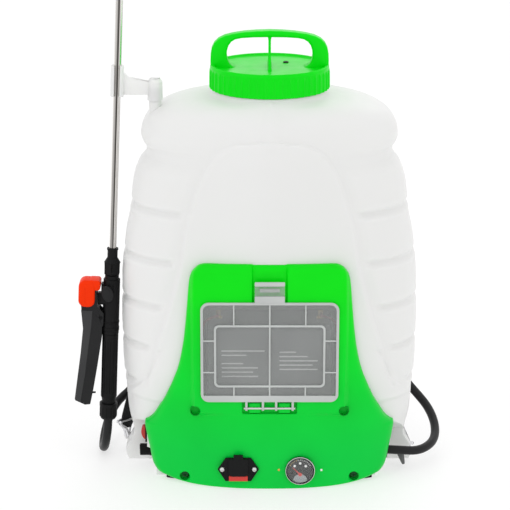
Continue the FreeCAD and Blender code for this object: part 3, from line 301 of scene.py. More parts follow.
def tank_plastic():
    """Natural polyethylene: milky, with faint flow marks and a slightly uneven skin."""
    color = (0.80, 0.80, 0.795)
    material, tree, shader, place = node_material("tank_hdpe", color, 0.42, specular=0.25)
    paint(tree, shader, spread(tree, noise(tree, place, 5, 2, (1, 1, 0.25))), color, (0.77, 0.77, 0.76))
    skin = noise(tree, place, 90, 5)
    polish(tree, shader, skin, 0.36, 0.5)
    raise_by(tree, shader, skin, 0.12, 0.0006)
    tune(shader, Subsurface_Weight=0.35, Subsurface_Radius=(0.02, 0.02, 0.019), Subsurface_Scale=1.0)
    return material


def lens_look():
    """Clear cover of the dial."""
    material, tree, shader, place = node_material("dial_lens", (0.95, 0.97, 0.97), 0.04)
    tune(shader, Alpha=0.05)
    raise_by(tree, shader, noise(tree, place, 30), 0.02, 0.0005)
    return material


def floor_look():
    """Pale floor that glows a little, so that it stays even."""
    material, tree, shader, place = node_material("floor", (0.99, 0.99, 0.99), 0.6, specular=0.15)
    paint(tree, shader, spread(tree, noise(tree, place, 3)), (0.4, 0.4, 0.4), (0.395, 0.395, 0.395))
    tune(shader, Emission_Color=(1, 1, 1, 1), Emission_Strength=0.6)
    return material


GREEN = (0.0, 0.66, 0.022)
materials = {
    "tank_hdpe": tank_plastic(),
    "green_plastic": green_look(),
    "window_plastic": moulded("window_plastic", (0.47, 0.485, 0.48), 0.34, 0.1, specular=0.25, alpha=0.33),
    "window_rib": moulded("window_rib", (0.58, 0.60, 0.59), 0.38, 0.1, specular=0.3, alpha=0.92),
    "black_plastic": moulded("black_plastic", (0.008, 0.008, 0.0085), 0.42, 0.25, specular=0.12, shade=0.6),
    "lever_plastic": moulded("lever_plastic", (0.018, 0.018, 0.019), 0.5, 0.3, specular=0.15, shade=0.8),
    # Painted light: a lighter copy of the lever's plastic, for its raised rest.
    "lever_painted_light": moulded("lever_painted_light", (0.05, 0.05, 0.052), 0.5, 0.3, specular=0.15, shade=0.8),
    # Painted shade: dark green for the cover screws, as they look in shade inside their green wells.
    "screw_painted_shade": moulded("screw_painted_shade", (0.012, 0.11, 0.025), 0.45, 0.2, specular=0.2),
    # Painted shade: a darker green for the insides of the cover's screw wells.
    "green_painted_shade": moulded("green_painted_shade", (0.0, 0.30, 0.02), 0.4, 0.08, specular=0.15),
    "gauge_gold": moulded("gauge_gold", (0.75, 0.45, 0.05), 0.5, 0.05),
    "orange_plastic": moulded("orange_plastic", (0.96, 0.035, 0.0), 0.4, 0.08, specular=0.08),
    "red_plastic": moulded("red_plastic", (0.6, 0.03, 0.02), 0.4, 0.1),
    "white_plastic": moulded("white_plastic", (0.84, 0.84, 0.83), 0.4, 0.08, soft=0.3),
    "battery_case": moulded("battery_case", (0.12, 0.122, 0.125), 0.55, 0.35, shade=0.85),
    "label_print": moulded("label_print", (0.95, 0.95, 0.95), 0.6, 0.1),
    "stainless": drawn_tube_with_painted_reflections(),
    "screw_steel": metal("screw_steel", (0.7, 0.7, 0.7), 0.3),
    "chrome_wire": metal("chrome_wire", (0.85, 0.85, 0.87), 0.1, grain=0.02),
    "motor_steel": metal("motor_steel", (0.35, 0.36, 0.38), 0.35, (1, 30, 30)),
    "brass": metal("brass", (0.78, 0.56, 0.23), 0.25, (1, 1, 40)),
    "hose_rubber": moulded("hose_rubber", (0.013, 0.013, 0.014), 0.42, 0.25, specular=0.22, shade=0.75),
    "seal_rubber": moulded("seal_rubber", (0.02, 0.02, 0.02), 0.7, 0.3),
    "clear_tube": moulded("clear_tube", (0.7, 0.72, 0.7), 0.25, 0.05, alpha=0.75),
    "lead_insulation": moulded("lead_insulation", (0.45, 0.02, 0.02), 0.45, 0.1),
    "dial_face": moulded("dial_face", (0.02, 0.019, 0.02), 0.5, 0.15, specular=0.1),
    "dial_print": moulded("dial_print", (0.85, 0.85, 0.85), 0.5, 0.05),
    "pad_fabric": woven("pad_fabric", (0.022, 0.022, 0.024)),
    "pad_mesh": woven("pad_mesh", (0.05, 0.05, 0.053), thread=420.0),
    "webbing_fabric": woven("webbing_fabric", (0.014, 0.014, 0.015), thread=1400.0, sheen=0.15),
    "thread": moulded("thread", (0.1, 0.1, 0.1), 0.8, 0.4),
    "dial_lens": lens_look(),
}


# ------------------------------------------------------------------ mesh tools
def mark_sharp(mesh, degrees):
    """Smooth shading, broken at edges sharper than the given angle."""
    work = bmesh.new()
    work.from_mesh(mesh)
    limit = math.radians(degrees)
    for edge in work.edges:
        edge.smooth = len(edge.link_faces) != 2 or edge.calc_face_angle(0.0) < limit
    for face in work.faces:
        face.smooth = True
    work.to_mesh(mesh)
    work.free()


def outward(mesh, weld=0.0):
    """Turns the faces outwards, after joining points that are closer than weld."""
    work = bmesh.new()
    work.from_mesh(mesh)
    if weld:
        bmesh.ops.remove_doubles(work, verts=work.verts, dist=weld)
    bmesh.ops.recalc_face_normals(work, faces=work.faces)
    work.to_mesh(mesh)
    work.free()


def repaint(mesh, look):
    mesh.materials.clear()
    mesh.materials.append(materials[look])


def piece(name, verts, faces, slot, degrees=35):
    """A mesh object from points in millimetres."""
    mesh = bpy.data.meshes.new(name)
    mesh.from_pydata([tuple(c * MM for c in v) for v in verts], [], faces)
    mesh.validate()
    outward(mesh)
    mark_sharp(mesh, degrees)
    if slot:
        mesh.materials.append(materials[slot])
    return placed(name, mesh)


def shown_mesh(obj):
    """A new mesh of what the object shows, modifiers and all."""
    return bpy.data.meshes.new_from_object(obj.evaluated_get(bpy.context.evaluated_depsgraph_get()))


def settle(obj):
    """Applies the modifiers of an object."""
    mesh = shown_mesh(obj)
    obj.modifiers.clear()
    obj.data = mesh
    return obj


def carve(target, cutter, operation="DIFFERENCE"):
    cut = target.modifiers.new("cut", "BOOLEAN")
    cut.object = cutter
    cut.operation = operation
    cut.solver = "EXACT"
    settle(target)
    bpy.data.objects.remove(cutter)


def merged(name, parts):
    """Joins several objects into the first, under a new name."""
    work = bmesh.new()
    slots = []
    for part in parts:
        settle(part)
        shift = []
        for material in part.data.materials:
            if material not in slots:
                slots.append(material)
            shift.append(slots.index(material))
        start = len(work.faces)
        part.data.transform(part.matrix_world)
        work.from_mesh(part.data)
        work.faces.ensure_lookup_table()
        for face in work.faces[start:]:
            if shift:
                face.material_index = shift[min(face.material_index, len(shift) - 1)]
    mesh = bpy.data.meshes.new(name)
    work.to_mesh(mesh)
    work.free()
    for material in slots:
        mesh.materials.append(material)
    for part in parts:
        bpy.data.objects.remove(part)
    return placed(name, mesh)


def grid_faces(rows, columns):
    """Faces of a tube of rings of points, open at both ends."""
    faces = []
    for row in range(rows - 1):
        for column in range(columns):
            here, ahead = row * columns + column, row * columns + (column + 1) % columns
            faces.append((here, ahead, ahead + columns, here + columns))
    return faces


def capped_faces(rows, columns):
    return grid_faces(rows, columns) + [tuple(range(columns - 1, -1, -1)),
                                        tuple(range((rows - 1) * columns, rows * columns))]


def ring_faces(rows, columns):
    """The last ring joined to the first."""
    last = (rows - 1) * columns
    return grid_faces(rows, columns) + [(last + k, last + (k + 1) % columns, (k + 1) % columns, k)
                                        for k in range(columns)]


def circle(radius, z, steps, centre=(0, 0)):
    angles = [TURN * step / steps for step in range(steps)]
    return [(centre[0] + radius * math.cos(a), centre[1] + radius * math.sin(a), z) for a in angles]


def lathe(name, profile, slot, steps, centre=(0, 0), ring=False):
    """A surface turned about Z from (radius, z) pairs: closed at both ends, or a ring whose ends meet."""
    verts = [point for radius, z in profile for point in circle(radius, z, steps, centre)]
    return piece(name, verts, (ring_faces if ring else capped_faces)(len(profile), steps), slot)


def slab(name, outlines, y0, y1, edge, slot, degrees=30):
    """A plate between two values of y from closed (x, z) outlines, with rounded edges. Later outlines are holes."""
    curve = bpy.data.curves.new(name, "CURVE")
    curve.dimensions = "2D"
    curve.fill_mode = "BOTH"
    for outline in outlines:
        line = curve.splines.new("POLY")
        line.points.add(len(outline) - 1)
        for point, (x, z) in zip(line.points, outline):
            point.co = (x * MM, z * MM, 0, 1)
        line.use_cyclic_u = True
    curve.extrude = ((y1 - y0) / 2 - edge) * MM
    curve.bevel_depth = edge * MM
    curve.bevel_resolution = 2
    curve.offset = -edge * MM
    holder = placed(name + "_line", curve)
    bpy.context.view_layer.update()
    mesh = shown_mesh(holder)
    bpy.data.objects.remove(holder)
    mesh.transform(Matrix.Translation((0, (y0 + y1) / 2 * MM, 0)) @ Matrix.Rotation(math.pi / 2, 4, "X"))
    outward(mesh, 0.01 * MM)
    mark_sharp(mesh, degrees)
    repaint(mesh, slot)
    return placed(name, mesh)


def block(name, low, high, slot=None, edge=0):
    """A box with rounded edges."""
    x0, y0, z0 = low
    x1, y1, z1 = high
    verts = [(x, y, z) for x in (x0, x1) for y in (y0, y1) for z in (z0, z1)]
    faces = [(0, 1, 3, 2), (4, 6, 7, 5), (0, 4, 5, 1), (2, 3, 7, 6), (0, 2, 6, 4), (1, 5, 7, 3)]
    obj = piece(name, verts, faces, slot)
    if edge:
        round_off(obj, edge)
        settle(obj)
        mark_sharp(obj.data, 50)
    return obj


def round_off(obj, width, degrees=32):
    bevel = obj.modifiers.new("edges", "BEVEL")
    bevel.width = width * MM
    bevel.segments = 2
    bevel.limit_method = "ANGLE"
    bevel.angle_limit = math.radians(degrees)
    bevel.harden_normals = False


def prism(name, outline, x0, x1):
    """A straight prism along X from (y, z) points."""
    verts = [(x, y, z) for x in (x0, x1) for y, z in outline]
    return piece(name, verts, capped_faces(2, len(outline)), None)


def at_corner(obj, side):
    """Turns a piece made with X outwards to the flat on the tank's back corner, on either side."""
    turn = Matrix.Rotation(CORNER, 4, "Z")
    obj.data.transform(turn if side > 0 else Matrix.Scale(-1, 4, (1, 0, 0)) @ turn)
    if side < 0:
        obj.data.flip_normals()
    return obj


def on_handle(obj):
    """Moves a piece made along the handle's own axis to its place."""
    obj.data.transform(Matrix.Translation(Vector(HANDLE_FOOT) * MM) @ Matrix.Rotation(LEAN, 4, "Y"))
    return obj


def drum(name, start, end, profile, slot, steps, ring=False):
    """A turned piece about any axis: profile is (radius, distance from start) pairs, in millimetres."""
    start, end = Vector(start), Vector(end)
    obj = lathe(name, profile, slot, steps, ring=ring)
    turn = (end - start).to_track_quat("Z", "Y").to_matrix().to_4x4()
    obj.data.transform(Matrix.Translation(start * MM) @ turn)
    return obj


def wire(name, points, radius, slot, steps, closed=False):
    """A round wire or tube along a smooth line through control points."""
    curve = bpy.data.curves.new(name, "CURVE")
    curve.dimensions = "3D"
    line = curve.splines.new("NURBS")
    line.points.add(len(points) - 1)
    for point, place in zip(line.points, points):
        point.co = (*(c * MM for c in place), 1)
    line.order_u = 3
    line.use_endpoint_u = not closed
    line.use_cyclic_u = closed
    line.resolution_u = 8
    curve.bevel_depth = radius * MM
    curve.bevel_resolution = steps
    curve.use_fill_caps = True
    curve.materials.append(materials[slot])
    return placed(name, curve)


def to_mesh(obj):
    """Turns a curve object into a mesh object of the same name."""
    name = obj.name
    mesh = shown_mesh(obj)
    mesh.transform(obj.matrix_world)
    bpy.data.objects.remove(obj)
    for face in mesh.polygons:
        face.use_smooth = True
    return placed(name, mesh)


def put(obj, body, slot, *replaced):
    """Names the body that a piece rides on and what it stands for; the slot it takes its finish from is not used."""
    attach(obj, body)
    if replaced:
        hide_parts(*replaced)
    return obj


def smooth_step(low, high, value):
    share = min(1.0, max(0.0, (value - low) / (high - low)))
    return share * share * (3 - 2 * share)


def table_value(table, at):
    """A smooth curve through the (place, value) pairs of a table, without overshoot."""
    if at <= table[0][0]:
        return table[0][1]
    if at >= table[-1][0]:
        return table[-1][1]
    index = max(i for i in range(len(table) - 1) if table[i][0] <= at)

    def rise(i):
        if i < 0 or i >= len(table) - 1:
            return None
        return (table[i + 1][1] - table[i][1]) / (table[i + 1][0] - table[i][0])

    def tangent(i):
        before, after = rise(i - 1), rise(i)
        if before is None or after is None:
            return after if before is None else before
        return 0.0 if before * after <= 0 else 2 * before * after / (before + after)

    (p0, v0), (p1, v1) = table[index], table[index + 1]
    span = p1 - p0
    t = (at - p0) / span
    m0, m1 = tangent(index) * span, tangent(index + 1) * span
    return (v0 * (2 * t**3 - 3 * t**2 + 1) + m0 * (t**3 - 2 * t**2 + t)
            + v1 * (3 * t**2 - 2 * t**3) + m1 * (t**3 - t**2))


def rounded(x0, x1, z0, z1, radius, steps=8):
    """Points of a rectangle with rounded corners."""
    points = []
    for cx, cz, start in ((x1 - radius, z1 - radius, 0), (x0 + radius, z1 - radius, 90),
                          (x0 + radius, z0 + radius, 180), (x1 - radius, z0 + radius, 270)):
        for step in range(steps + 1):
            angle = math.radians(start + 90 * step / steps)
            points.append((cx + radius * math.cos(angle), cz + radius * math.sin(angle)))
    return points


# ------------------------------------------------------------------ hose
hose = wire("hose", HOSE_ROUTE, HOSE_D / 2, "hose_rubber", steps=10)
put(hose, "root", "hose_rubber", "spray_hose")

# ------------------------------------------------------------------ floor
FLOOR_X, FLOOR_NEAR, FLOOR_FAR = 9000, -6000, 12000
floor = piece("floor", [(-FLOOR_X, FLOOR_NEAR, 0), (FLOOR_X, FLOOR_NEAR, 0), (FLOOR_X, FLOOR_FAR, 0),
                        (-FLOOR_X, FLOOR_FAR, 0)], [(0, 1, 2, 3)], None)
floor.data.materials.append(floor_look())
floor.location.z = -0.0006


# ------------------------------------------------------------------ tank
def groove_profile(z, groove, half, depth):
    """Depth of one ring groove at a height: flat in the middle, with soft lips."""
    away = abs(z - groove)
    return depth * (1 - smooth_step(half * 0.2, half, away)) - 0.35 * math.exp(-((away - half - 1.5) / 2.2) ** 2)


def panel_line(z):
    """Half width of the front end of the lower flank panel between its two grooves."""
    return table_value(((112, 156), (119, 152), (137, 147), (156, 139), (166, 134), (172, 131)), z)


def tank_skin(x, y, z):
    """How far the tank's skin stands out from its plain outline at one place."""
    out = 0.0
    wide = abs(x)
    edge = table_value(SHIELD_EDGE, z)
    front = y < 0
    if front:
        fade = smooth_step(edge + 7, edge + 17, wide)
    else:
        fade = smooth_step(70, 95, wide)
    for groove in GROOVES:
        if abs(z - groove) < 14:
            out -= groove_profile(z, groove, 6.5, 3.0) * fade
    if fade > 0 and 85 < z < 395:
        marks = sorted(GROOVES + (395.0, 62.0))
        below = max(m for m in marks if m <= z) if z >= marks[0] else marks[0]
        above = min(m for m in marks if m > z) if z < marks[-1] else marks[-1]
        if above > below:
            out += 1.1 * fade * math.sin(math.pi * (z - below) / (above - below)) ** 0.7
    if front and 112 < z < 176:
        line = panel_line(z)
        near = smooth_step(116, 120, z) * (1 - smooth_step(167.5, 171, z))
        out -= 1.8 * near * math.exp(-((wide - line) / 2.6) ** 2)
    if front and z > 100:
        rise = 1 - smooth_step(-3.0, 3.0, wide - edge)
        out += 2.0 * rise + 0.7 * math.exp(-((wide - edge + 1.2) / 2.4) ** 2) * (1 - smooth_step(408, 436, z))
    return out


def tank_outline(z, angle):
    """One point of the tank's outside."""
    cosine, sine = math.cos(angle), math.sin(angle)
    half = table_value(TANK_SIDE, z)
    share = table_value(REACH_SHARE, z)
    roundness = smooth_step(CROWN_LOW, TANK_TOP, z)
    power_front = 2.6 * (1 - roundness) + 2.0 * roundness
    power_back = 3.0 * (1 - roundness) + 2.0 * roundness
    along = abs(cosine) ** (2 / power_front)
    x = half * math.copysign(along, cosine)
    if sine > 0:
        reach = TANK_BACK * share * (1 - roundness) + half * roundness * 0.985
        reach = min(reach, TANK_BACK * share) if roundness == 0 else max(reach, 0)
        y = reach * max(0.0, 1 - along**power_back) ** (1 / power_back)
        power = power_back
    else:
        reach = TANK_FRONT * share
        y = -reach * abs(sine) ** (2 / power_front)
        power = power_front
    nx = math.copysign((abs(x) / half) ** (power - 1) / half, x)
    ny = math.copysign((abs(y) / max(reach, 1)) ** (power - 1) / max(reach, 1), y)
    size = math.hypot(nx, ny) or 1.0
    out = tank_skin(x, y, z)
    return x + out * nx / size, y + out * ny / size, z


def tank_mesh():
    heights = []
    z = 0.0
    while z < 440:
        heights.append(z)
        z += FINE_ROWS if any(abs(z - g) < 12 for g in GROOVES) or 395 < z < 430 else PLAIN_ROWS
    heights += [440 + 1.6 * k for k in range(21)] + [473.0, 474.0]
    heights = sorted(set(round(h, 3) for h in heights if h <= TANK_TOP))
    neck = ((70.5, 474.6), (70, 475.4), (70, 477.0), (69.6, 477.4), (62.5, 477.5), (61, 478.2), (61, 482),
            (62.6, 482.4), (62.6, 483.6), (61, 484), (61, 489), (62.6, 489.4), (62.6, 490.6), (61, 491),
            (61, 496.4), (60.4, 497), (57, 497), (56.2, 496.4), (56, 450))
    verts = [tank_outline(z, TURN * step / TANK_STEPS) for z in heights for step in range(TANK_STEPS)]
    for radius, z in neck:
        verts += circle(radius, z, TANK_STEPS)
    return piece("tank_shell", verts, capped_faces(len(heights) + len(neck), TANK_STEPS), "tank_hdpe", 50)


def build_tank():
    """The tank without the CAD's holes behind the rocker and for the knob's shaft: its walls cross both parts."""
    tank = tank_mesh()
    rooms = ((-90, 90, -140, -28, 112, 268), (-128, 128, -140, 30, -3, 108), (-154, -140, -140, -14, -3, 33))
    for x0, x1, y0, y1, z0, z1 in rooms:
        carve(tank, block("room", (x0, y0, z0), (x1, y1, z1)))
    for side, x0, x1 in ((-1, -190, -152), (1, 132, 190)):
        carve(tank, prism("niche", NICHE[side], x0, x1))
        carve(tank, block("front_foot", (side * 140 - 20, -140, -3), (side * 140 + 20, -66, 9)))
    post = lathe("post", ((0.1, 425), (7.5, 425), (7.5, 478.8), (6.6, 480), (0.1, 480)), None, 32, (-138, -13))
    carve(tank, post, "UNION")
    mark_sharp(tank.data, 42)
    put(tank, "root", "tank_hdpe", "tank", "tank_neck")
    eyes = []
    for side in (-1, 1):
        middle = -79 + RING_SHIFT[side]
        root = block("lug", (150, middle - 3, 5.5), (RING_DEPTH - 2.4, middle + 3, 16.5), "tank_hdpe", 1.5)
        eye = drum("lug_eye", (RING_DEPTH, middle - 1.4, 11), (RING_DEPTH, middle + 1.4, 11),
                   ((2.2, 0), (4.7, 0), (5.5, 0.8), (5.5, 2.0), (4.7, 2.8), (2.2, 2.8)), "tank_hdpe", 32, ring=True)
        eyes += [at_corner(root, side), at_corner(eye, side)]
    put(merged("hook_lugs", eyes), "root", "tank_hdpe")


build_tank()


# ------------------------------------------------------------------ green base cover
def cover_reach(x, z, inset=0.0):
    exponent = 2.2 + 0.8 * smooth_step(0, 200, z)
    share = max(0.0, 1 - (abs(x) / (COVER_HALF - inset)) ** exponent)
    return (COVER_FRONT - inset) * share ** (1 / exponent)


def inside_distance(x, z):
    """How far a place is inside the cover's outline."""
    wide = abs(x)
    half = table_value(COVER_SIDE, z)
    slope = abs(table_value(COVER_SIDE, z + 1) - table_value(COVER_SIDE, z - 1)) / 2
    side = (half - wide) / math.hypot(1, min(slope, 3.0))
    return max(0.0, min(side, COVER_TOP - z))


def cover_front(x, z):
    """The cover's outer surface, as a distance in front of the middle."""
    reach = cover_reach(x, z)
    wide = abs(x)
    field = smooth_step(96, 90, wide) * smooth_step(93, 100, z) * smooth_step(COVER_TOP, 279, z)
    reach += (max(FACE_Y, reach) - reach) * field
    channel = smooth_step(21.5, 19.5, wide) * smooth_step(234, 238, z)
    reach -= channel * 3.6
    edge = 8.0
    away = inside_distance(x, z)
    if away < edge:
        reach -= edge - math.sqrt(max(0.0, edge * edge - (edge - away) ** 2))
    return reach


def cover_columns():
    fixed = [0.0]
    while fixed[-1] < INNER_COLUMNS:
        step = 0.5 if any(abs(fixed[-1] - m) < 2 for m in (20, 33)) else 1.5
        fixed.append(min(INNER_COLUMNS, fixed[-1] + step))
    outer = [1 - (1 - k / 26) ** 1.6 for k in range(1, 27)]
    return fixed, outer


def cover_point_x(column, z, fixed, outer):
    half = table_value(COVER_SIDE, z)
    inner_limit = min(INNER_COLUMNS, half - 7.0)
    if column < len(fixed):
        return fixed[column] * inner_limit / INNER_COLUMNS
    return inner_limit + (half - inner_limit) * outer[column - len(fixed)]


def cover_mesh():
    fixed, outer = cover_columns()
    count = len(fixed) + len(outer)
    rows = [0.0, 0.3, 0.6, 1.1, 1.6, 2.4, 3.5, 5, 7, 9]
    z = 11.0
    while z < 274:
        rows.append(z)
        z += 0.6 if any(abs(z - m) < 2.5 for m in (73.5, 97, 100, 236)) else 1.6
    rows += [274, 275.5, 277, 278.5, 280, 281.2, 282.3, 283.2, 284, 284.5, 284.8, 285]
    verts = []
    width = 2 * count - 1
    for inside in (False, True):
        for z in rows:
            for column in range(-(count - 1), count):
                x = math.copysign(cover_point_x(abs(column), z, fixed, outer), column)
                reach = cover_front(x, z)
                if inside:
                    rim = smooth_step(9.0, 3.0, inside_distance(x, z))
                    back = cover_reach(x, z, 6.0) - 1.0
                    side = min(reach - 3.0, 52.0 + 20 * smooth_step(120, 285, z))
                    reach = back * (1 - rim) + side * rim
                    reach = min(reach, cover_front(x, z) - 2.5)
                verts.append((x, -reach, z))
    faces = []
    per_layer = len(rows) * width
    for row in range(len(rows) - 1):
        for column in range(width - 1):
            a = row * width + column
            faces.append((a, a + 1, a + 1 + width, a + width))
            b = a + per_layer
            faces.append((b, b + width, b + 1 + width, b + 1))
    for row in range(len(rows) - 1):
        for column in (0, width - 1):
            a, b = row * width + column, row * width + column + per_layer
            faces.append((a, b, b + width, a + width))
    for row in (0, len(rows) - 1):
        for column in range(width - 1):
            a, b = row * width + column, row * width + column + per_layer
            faces.append((a, a + 1, b + 1, b))
    return piece("base_cover_shell", verts, faces, "green_plastic", 40)


def flared_slab(name, outline_at, y0, y1, flare_y, flare):
    """A cutter whose outline widens in front of flare_y, so that it leaves a small chamfer."""
    verts, rings = [], ((y1, 0.0), (flare_y, 0.0), (flare_y - flare, flare), (y0, flare + 3))
    for y, grow in rings:
        outline = outline_at(grow)
        verts += [(x, y, z) for x, z in outline]
    return piece(name, verts, capped_faces(len(rings), len(verts) // len(rings)), None)


def screw_front(x, z):
    """Where the cover's face is at a screw: the upper pair sits on the flat field."""
    return -FACE_Y if abs(x) < 96 and z > 96 else -cover_reach(x, z)


def build_cover():
    cover = cover_mesh()
    window = flared_slab("window", lambda g: rounded(-80 - g, 80 + g, 117 - g, 237 + g, 8 + g), -125, -60, -109, 0.6)
    carve(cover, window)
    pocket = flared_slab("pocket", lambda g: rounded(-33 - g, 33 + g, 97.5 - g, 120, 1.5), -125, -105.4, -109.2, 0.6)
    carve(cover, pocket)
    for x, z in COVER_SCREWS:
        front = screw_front(x, z)
        profile = ((0.1, -12), (6.9, -12), (6.9, -0.5), (6.1, 0.7), (5.8, 1.4), (5.6, 9), (0.1, 9))
        well = drum("well", (x, front, z), (x, front + 1, z), profile, None, 40)
        carve(cover, well)
    carve(cover, drum("gauge_hole", (GAUGE[0], -130, GAUGE[1]), (GAUGE[0], -60, GAUGE[1]),
                      ((0.1, 0), (15.2, 0), (15.2, 60), (0.1, 60)), None, 48))
    x, z = SOCKET
    carve(cover, block("socket_hole", (x - 13, -130, z - 14), (x + 13, -60, z + 12)))
    mark_sharp(cover.data, 28)
    blocks = [block("hinge_block", (x - 7.0, -109.6, 98.6), (x + 7.0, -104.6, 111.4), "green_plastic", 0.8)
              for x in (-18, 18)]
    put(merged("hinge_blocks", blocks), "root", "green_plastic")
    put(cover, "root", "green_plastic", "base_cover")
    cups = []
    for x, z in COVER_SCREWS:
        front = screw_front(x, z)
        cup = drum("well_cup", (x, front + 1.6, z), (x, front + 12, z),
                   ((6.5, 0), (6.5, 10.4), (2.2, 10.4), (2.2, 8.8), (5.7, 8.8), (5.7, 0)), "green_plastic", 40,
                   ring=True)
        cups.append(cup)
    wells = merged("screw_wells", cups)
    # Painted shade: the well cups take a darker green for the shade inside the wells.
    repaint(wells.data, "green_painted_shade")
    put(wells, "root", "green_plastic")


build_cover()


# ------------------------------------------------------------------ lid
def lid_cap():
    """The cap: a skirt with rounded ribs, a sloping rim and a shallow dished top."""
    ribs, per_rib = 48, 10
    steps = ribs * per_rib
    rows = ((478.0, 70.6, 0.7), (478.5, 71.2, 1.0), (480, 71.4, 1.0), (486, 71.4, 1.0), (493, 71.3, 1.0),
            (498.5, 71.2, 1.0), (500.5, 71.3, 0.7), (501.8, 71.6, 0.25), (502.6, 71.9, 0.0), (504.2, 71.8, 0.0),
            (505.8, 71.1, 0.0), (506.7, 70.1, 0.0), (507.0, 68.8, 0.0), (506.6, 67.4, 0.0), (505.2, 66.4, 0.0),
            (504.5, 65.4, 0.0), (504.2, 63.5, 0.0), (503.4, 30, 0.0), (503.2, 0.2, 0.0))
    under = ((500.9, 0.2), (501.2, 63.6), (500.6, 64.2), (478.6, 64.2), (478.1, 64.8))
    verts = []
    for z, radius, amount in rows:
        for step in range(steps):
            phase = step % per_rib / per_rib
            rib = math.exp(-(((phase - 0.5) / 0.15) ** 2))
            angle = TURN * step / steps
            r = radius + 1.6 * amount * rib
            verts.append((r * math.cos(angle), r * math.sin(angle), z))
    for z, radius in under:
        verts += circle(radius, z, steps)
    cap = piece("lid_cap", verts, ring_faces(len(rows) + len(under), steps), "green_plastic", 60)
    hole = lathe("vent_hole", ((0.1, 495), (3.3, 495), (3.3, 502.6), (4.0, 504.2), (4.0, 510), (0.1, 510)), None, 32,
                 (20, 24))
    carve(cap, hole)
    mark_sharp(cap.data, 40)
    return cap


def handle_outline():
    """Outer edge and opening of the carrying handle, as (x, z) points."""
    right = [(71.2, 500), (71.2, 512), (70.9, 520), (69.6, 527), (66.6, 533), (61.5, 538), (54, 541.7), (44, 544.2),
             (30, 546.3), (15, 547.5)]
    outer = right + [(0, 548)] + [(-x, z) for x, z in reversed(right)]
    opening = [(40, 500), (41, 503.5), (44.5, 505.2), (48, 508), (50.6, 512.5), (51.6, 518), (51.2, 524), (49.4, 530),
               (46, 534.6), (41, 537.6), (34, 539), (20, 539.9)]
    inner = opening + [(0, 540.2)] + [(-x, z) for x, z in reversed(opening)]
    return outer, inner


def build_lid():
    outer, inner = handle_outline()
    arch = outer + list(reversed(inner))
    loop = slab("lid_handle", [arch], -9, 9, 2.6, "green_plastic", 50)
    web_points = []
    rows = 24
    for row in range(rows + 1):
        z = 502.8 + (541.5 - 502.8) * row / rows
        reach = 30 - 22 * smooth_step(503, 540, z) ** 0.8
        flare = 1.5 + 1.2 * math.exp(-(z - 502.8) / 2.0) + 1.2 * math.exp(-(541 - z) / 2.0)
        web_points.append((z, reach, flare))
    verts = []
    for z, reach, flare in web_points:
        verts += [(-flare, -reach + 0.8, z), (-flare * 0.5, -reach, z), (flare * 0.5, -reach, z),
                  (flare, -reach + 0.8, z), (flare, reach - 0.8, z), (flare * 0.5, reach, z),
                  (-flare * 0.5, reach, z), (-flare, reach - 0.8, z)]
    web = piece("lid_web", verts, capped_faces(len(web_points), 8), "green_plastic", 40)
    put(lid_cap(), "lid", "green_plastic", "lid")
    put(loop, "lid", "green_plastic")
    put(web, "lid", "green_plastic")


build_lid()


# ------------------------------------------------------------------ battery door and latch
def build_door():
    """A tray with a raised rim, crossed by thin ribs, and four hinge arms."""
    panel = slab("door_panel", [rounded(-81.5, 81.5, 115.5, 238.5, 8.6)], -112.1, -110.4, 0.3, "window_plastic")
    rim = slab("door_rim", [rounded(-83, 83, 114, 240, 10), rounded(-79.6, 79.6, 117.6, 236.8, 7.2)], -113.4, -110.3,
               0.9, "window_rib")
    frame_rib = slab("door_frame", [rounded(-66.8, 66.8, 133, 212, 6), rounded(-64.2, 64.2, 135.6, 209.4, 4)], -113.2,
                     -112.0, 0.35, "window_rib")
    ribs = [panel, rim, frame_rib]
    ribs.append(block("rib", (-1.0, -113.1, 117), (1.0, RIB_BACK, 237), "window_rib", 0.3))
    ribs.append(slab("door_sill", [rounded(-80.4, 80.4, 116.2, 122.4, 3)], -113.25, RIB_BACK, 0.5, "window_rib"))
    bars = [(x - 0.9, x + 0.9, z0, z1) for x in (-43, 43) for z0, z1 in ((117, 134), (211, 237))]
    bars += [(x0, x1, z - 0.9, z + 0.9) for z in (152, 192) for x0, x1 in ((-80, -65), (65, 80))]
    for x0, x1, z0, z1 in bars:
        ribs.append(block("rib", (x0, RIB_FRONT, z0), (x1, RIB_BACK, z1), "window_rib", 0.3))
    for x in (-28, -8, 8, 28):
        ribs.append(block("arm", (x - 1.4, RIB_FRONT, 104), (x + 1.4, -110.4, 116), "window_rib", 0.5))
        ribs.append(drum("eye", (x - 1.4, *DOOR_PIN), (x + 1.4, *DOOR_PIN),
                         ((1.6, 0), (2.6, 0), (3.0, 0.4), (3.0, 2.4), (2.6, 2.8), (1.6, 2.8)), "window_rib", 28))
    door = merged("door", ribs)
    put(door, "battery_door", "window_plastic", "battery_door")
    tongue = slab("latch_tongue", [rounded(-18, 18, 240.6, 263.5, 1.5)], -112.6, -111.2, 0.4, "window_plastic")
    root = slab("latch_root", [rounded(-18, 18, 239.5, 248, 1.0)], -113.0, -111.0, 0.6, "window_rib")
    lip = drum("latch_lip", (-18, -114.2, 263.6), (18, -114.2, 263.6),
               ((0.1, 0), (2.0, 0), (2.7, 0.7), (2.7, 35.3), (2.0, 36), (0.1, 36)), "window_rib", 28)
    hook = block("latch_hook", (-12, -111.4, 252.5), (12, -109.3, 257), "window_rib", 0.5)
    put(merged("latch", [tongue, root, lip, hook]), "door_latch", "window_plastic", "door_latch")


build_door()


# ------------------------------------------------------------------ trigger handle
def ellipse(x, z, half_x, half_z, turn, steps=40):
    """Points of a tilted ellipse, as (x, z)."""
    points = []
    for step in range(steps):
        angle = TURN * step / steps
        u, v = half_x * math.cos(angle), half_z * math.sin(angle)
        points.append((x + u * math.cos(turn) + v * math.sin(turn), z - u * math.sin(turn) + v * math.cos(turn)))
    return points


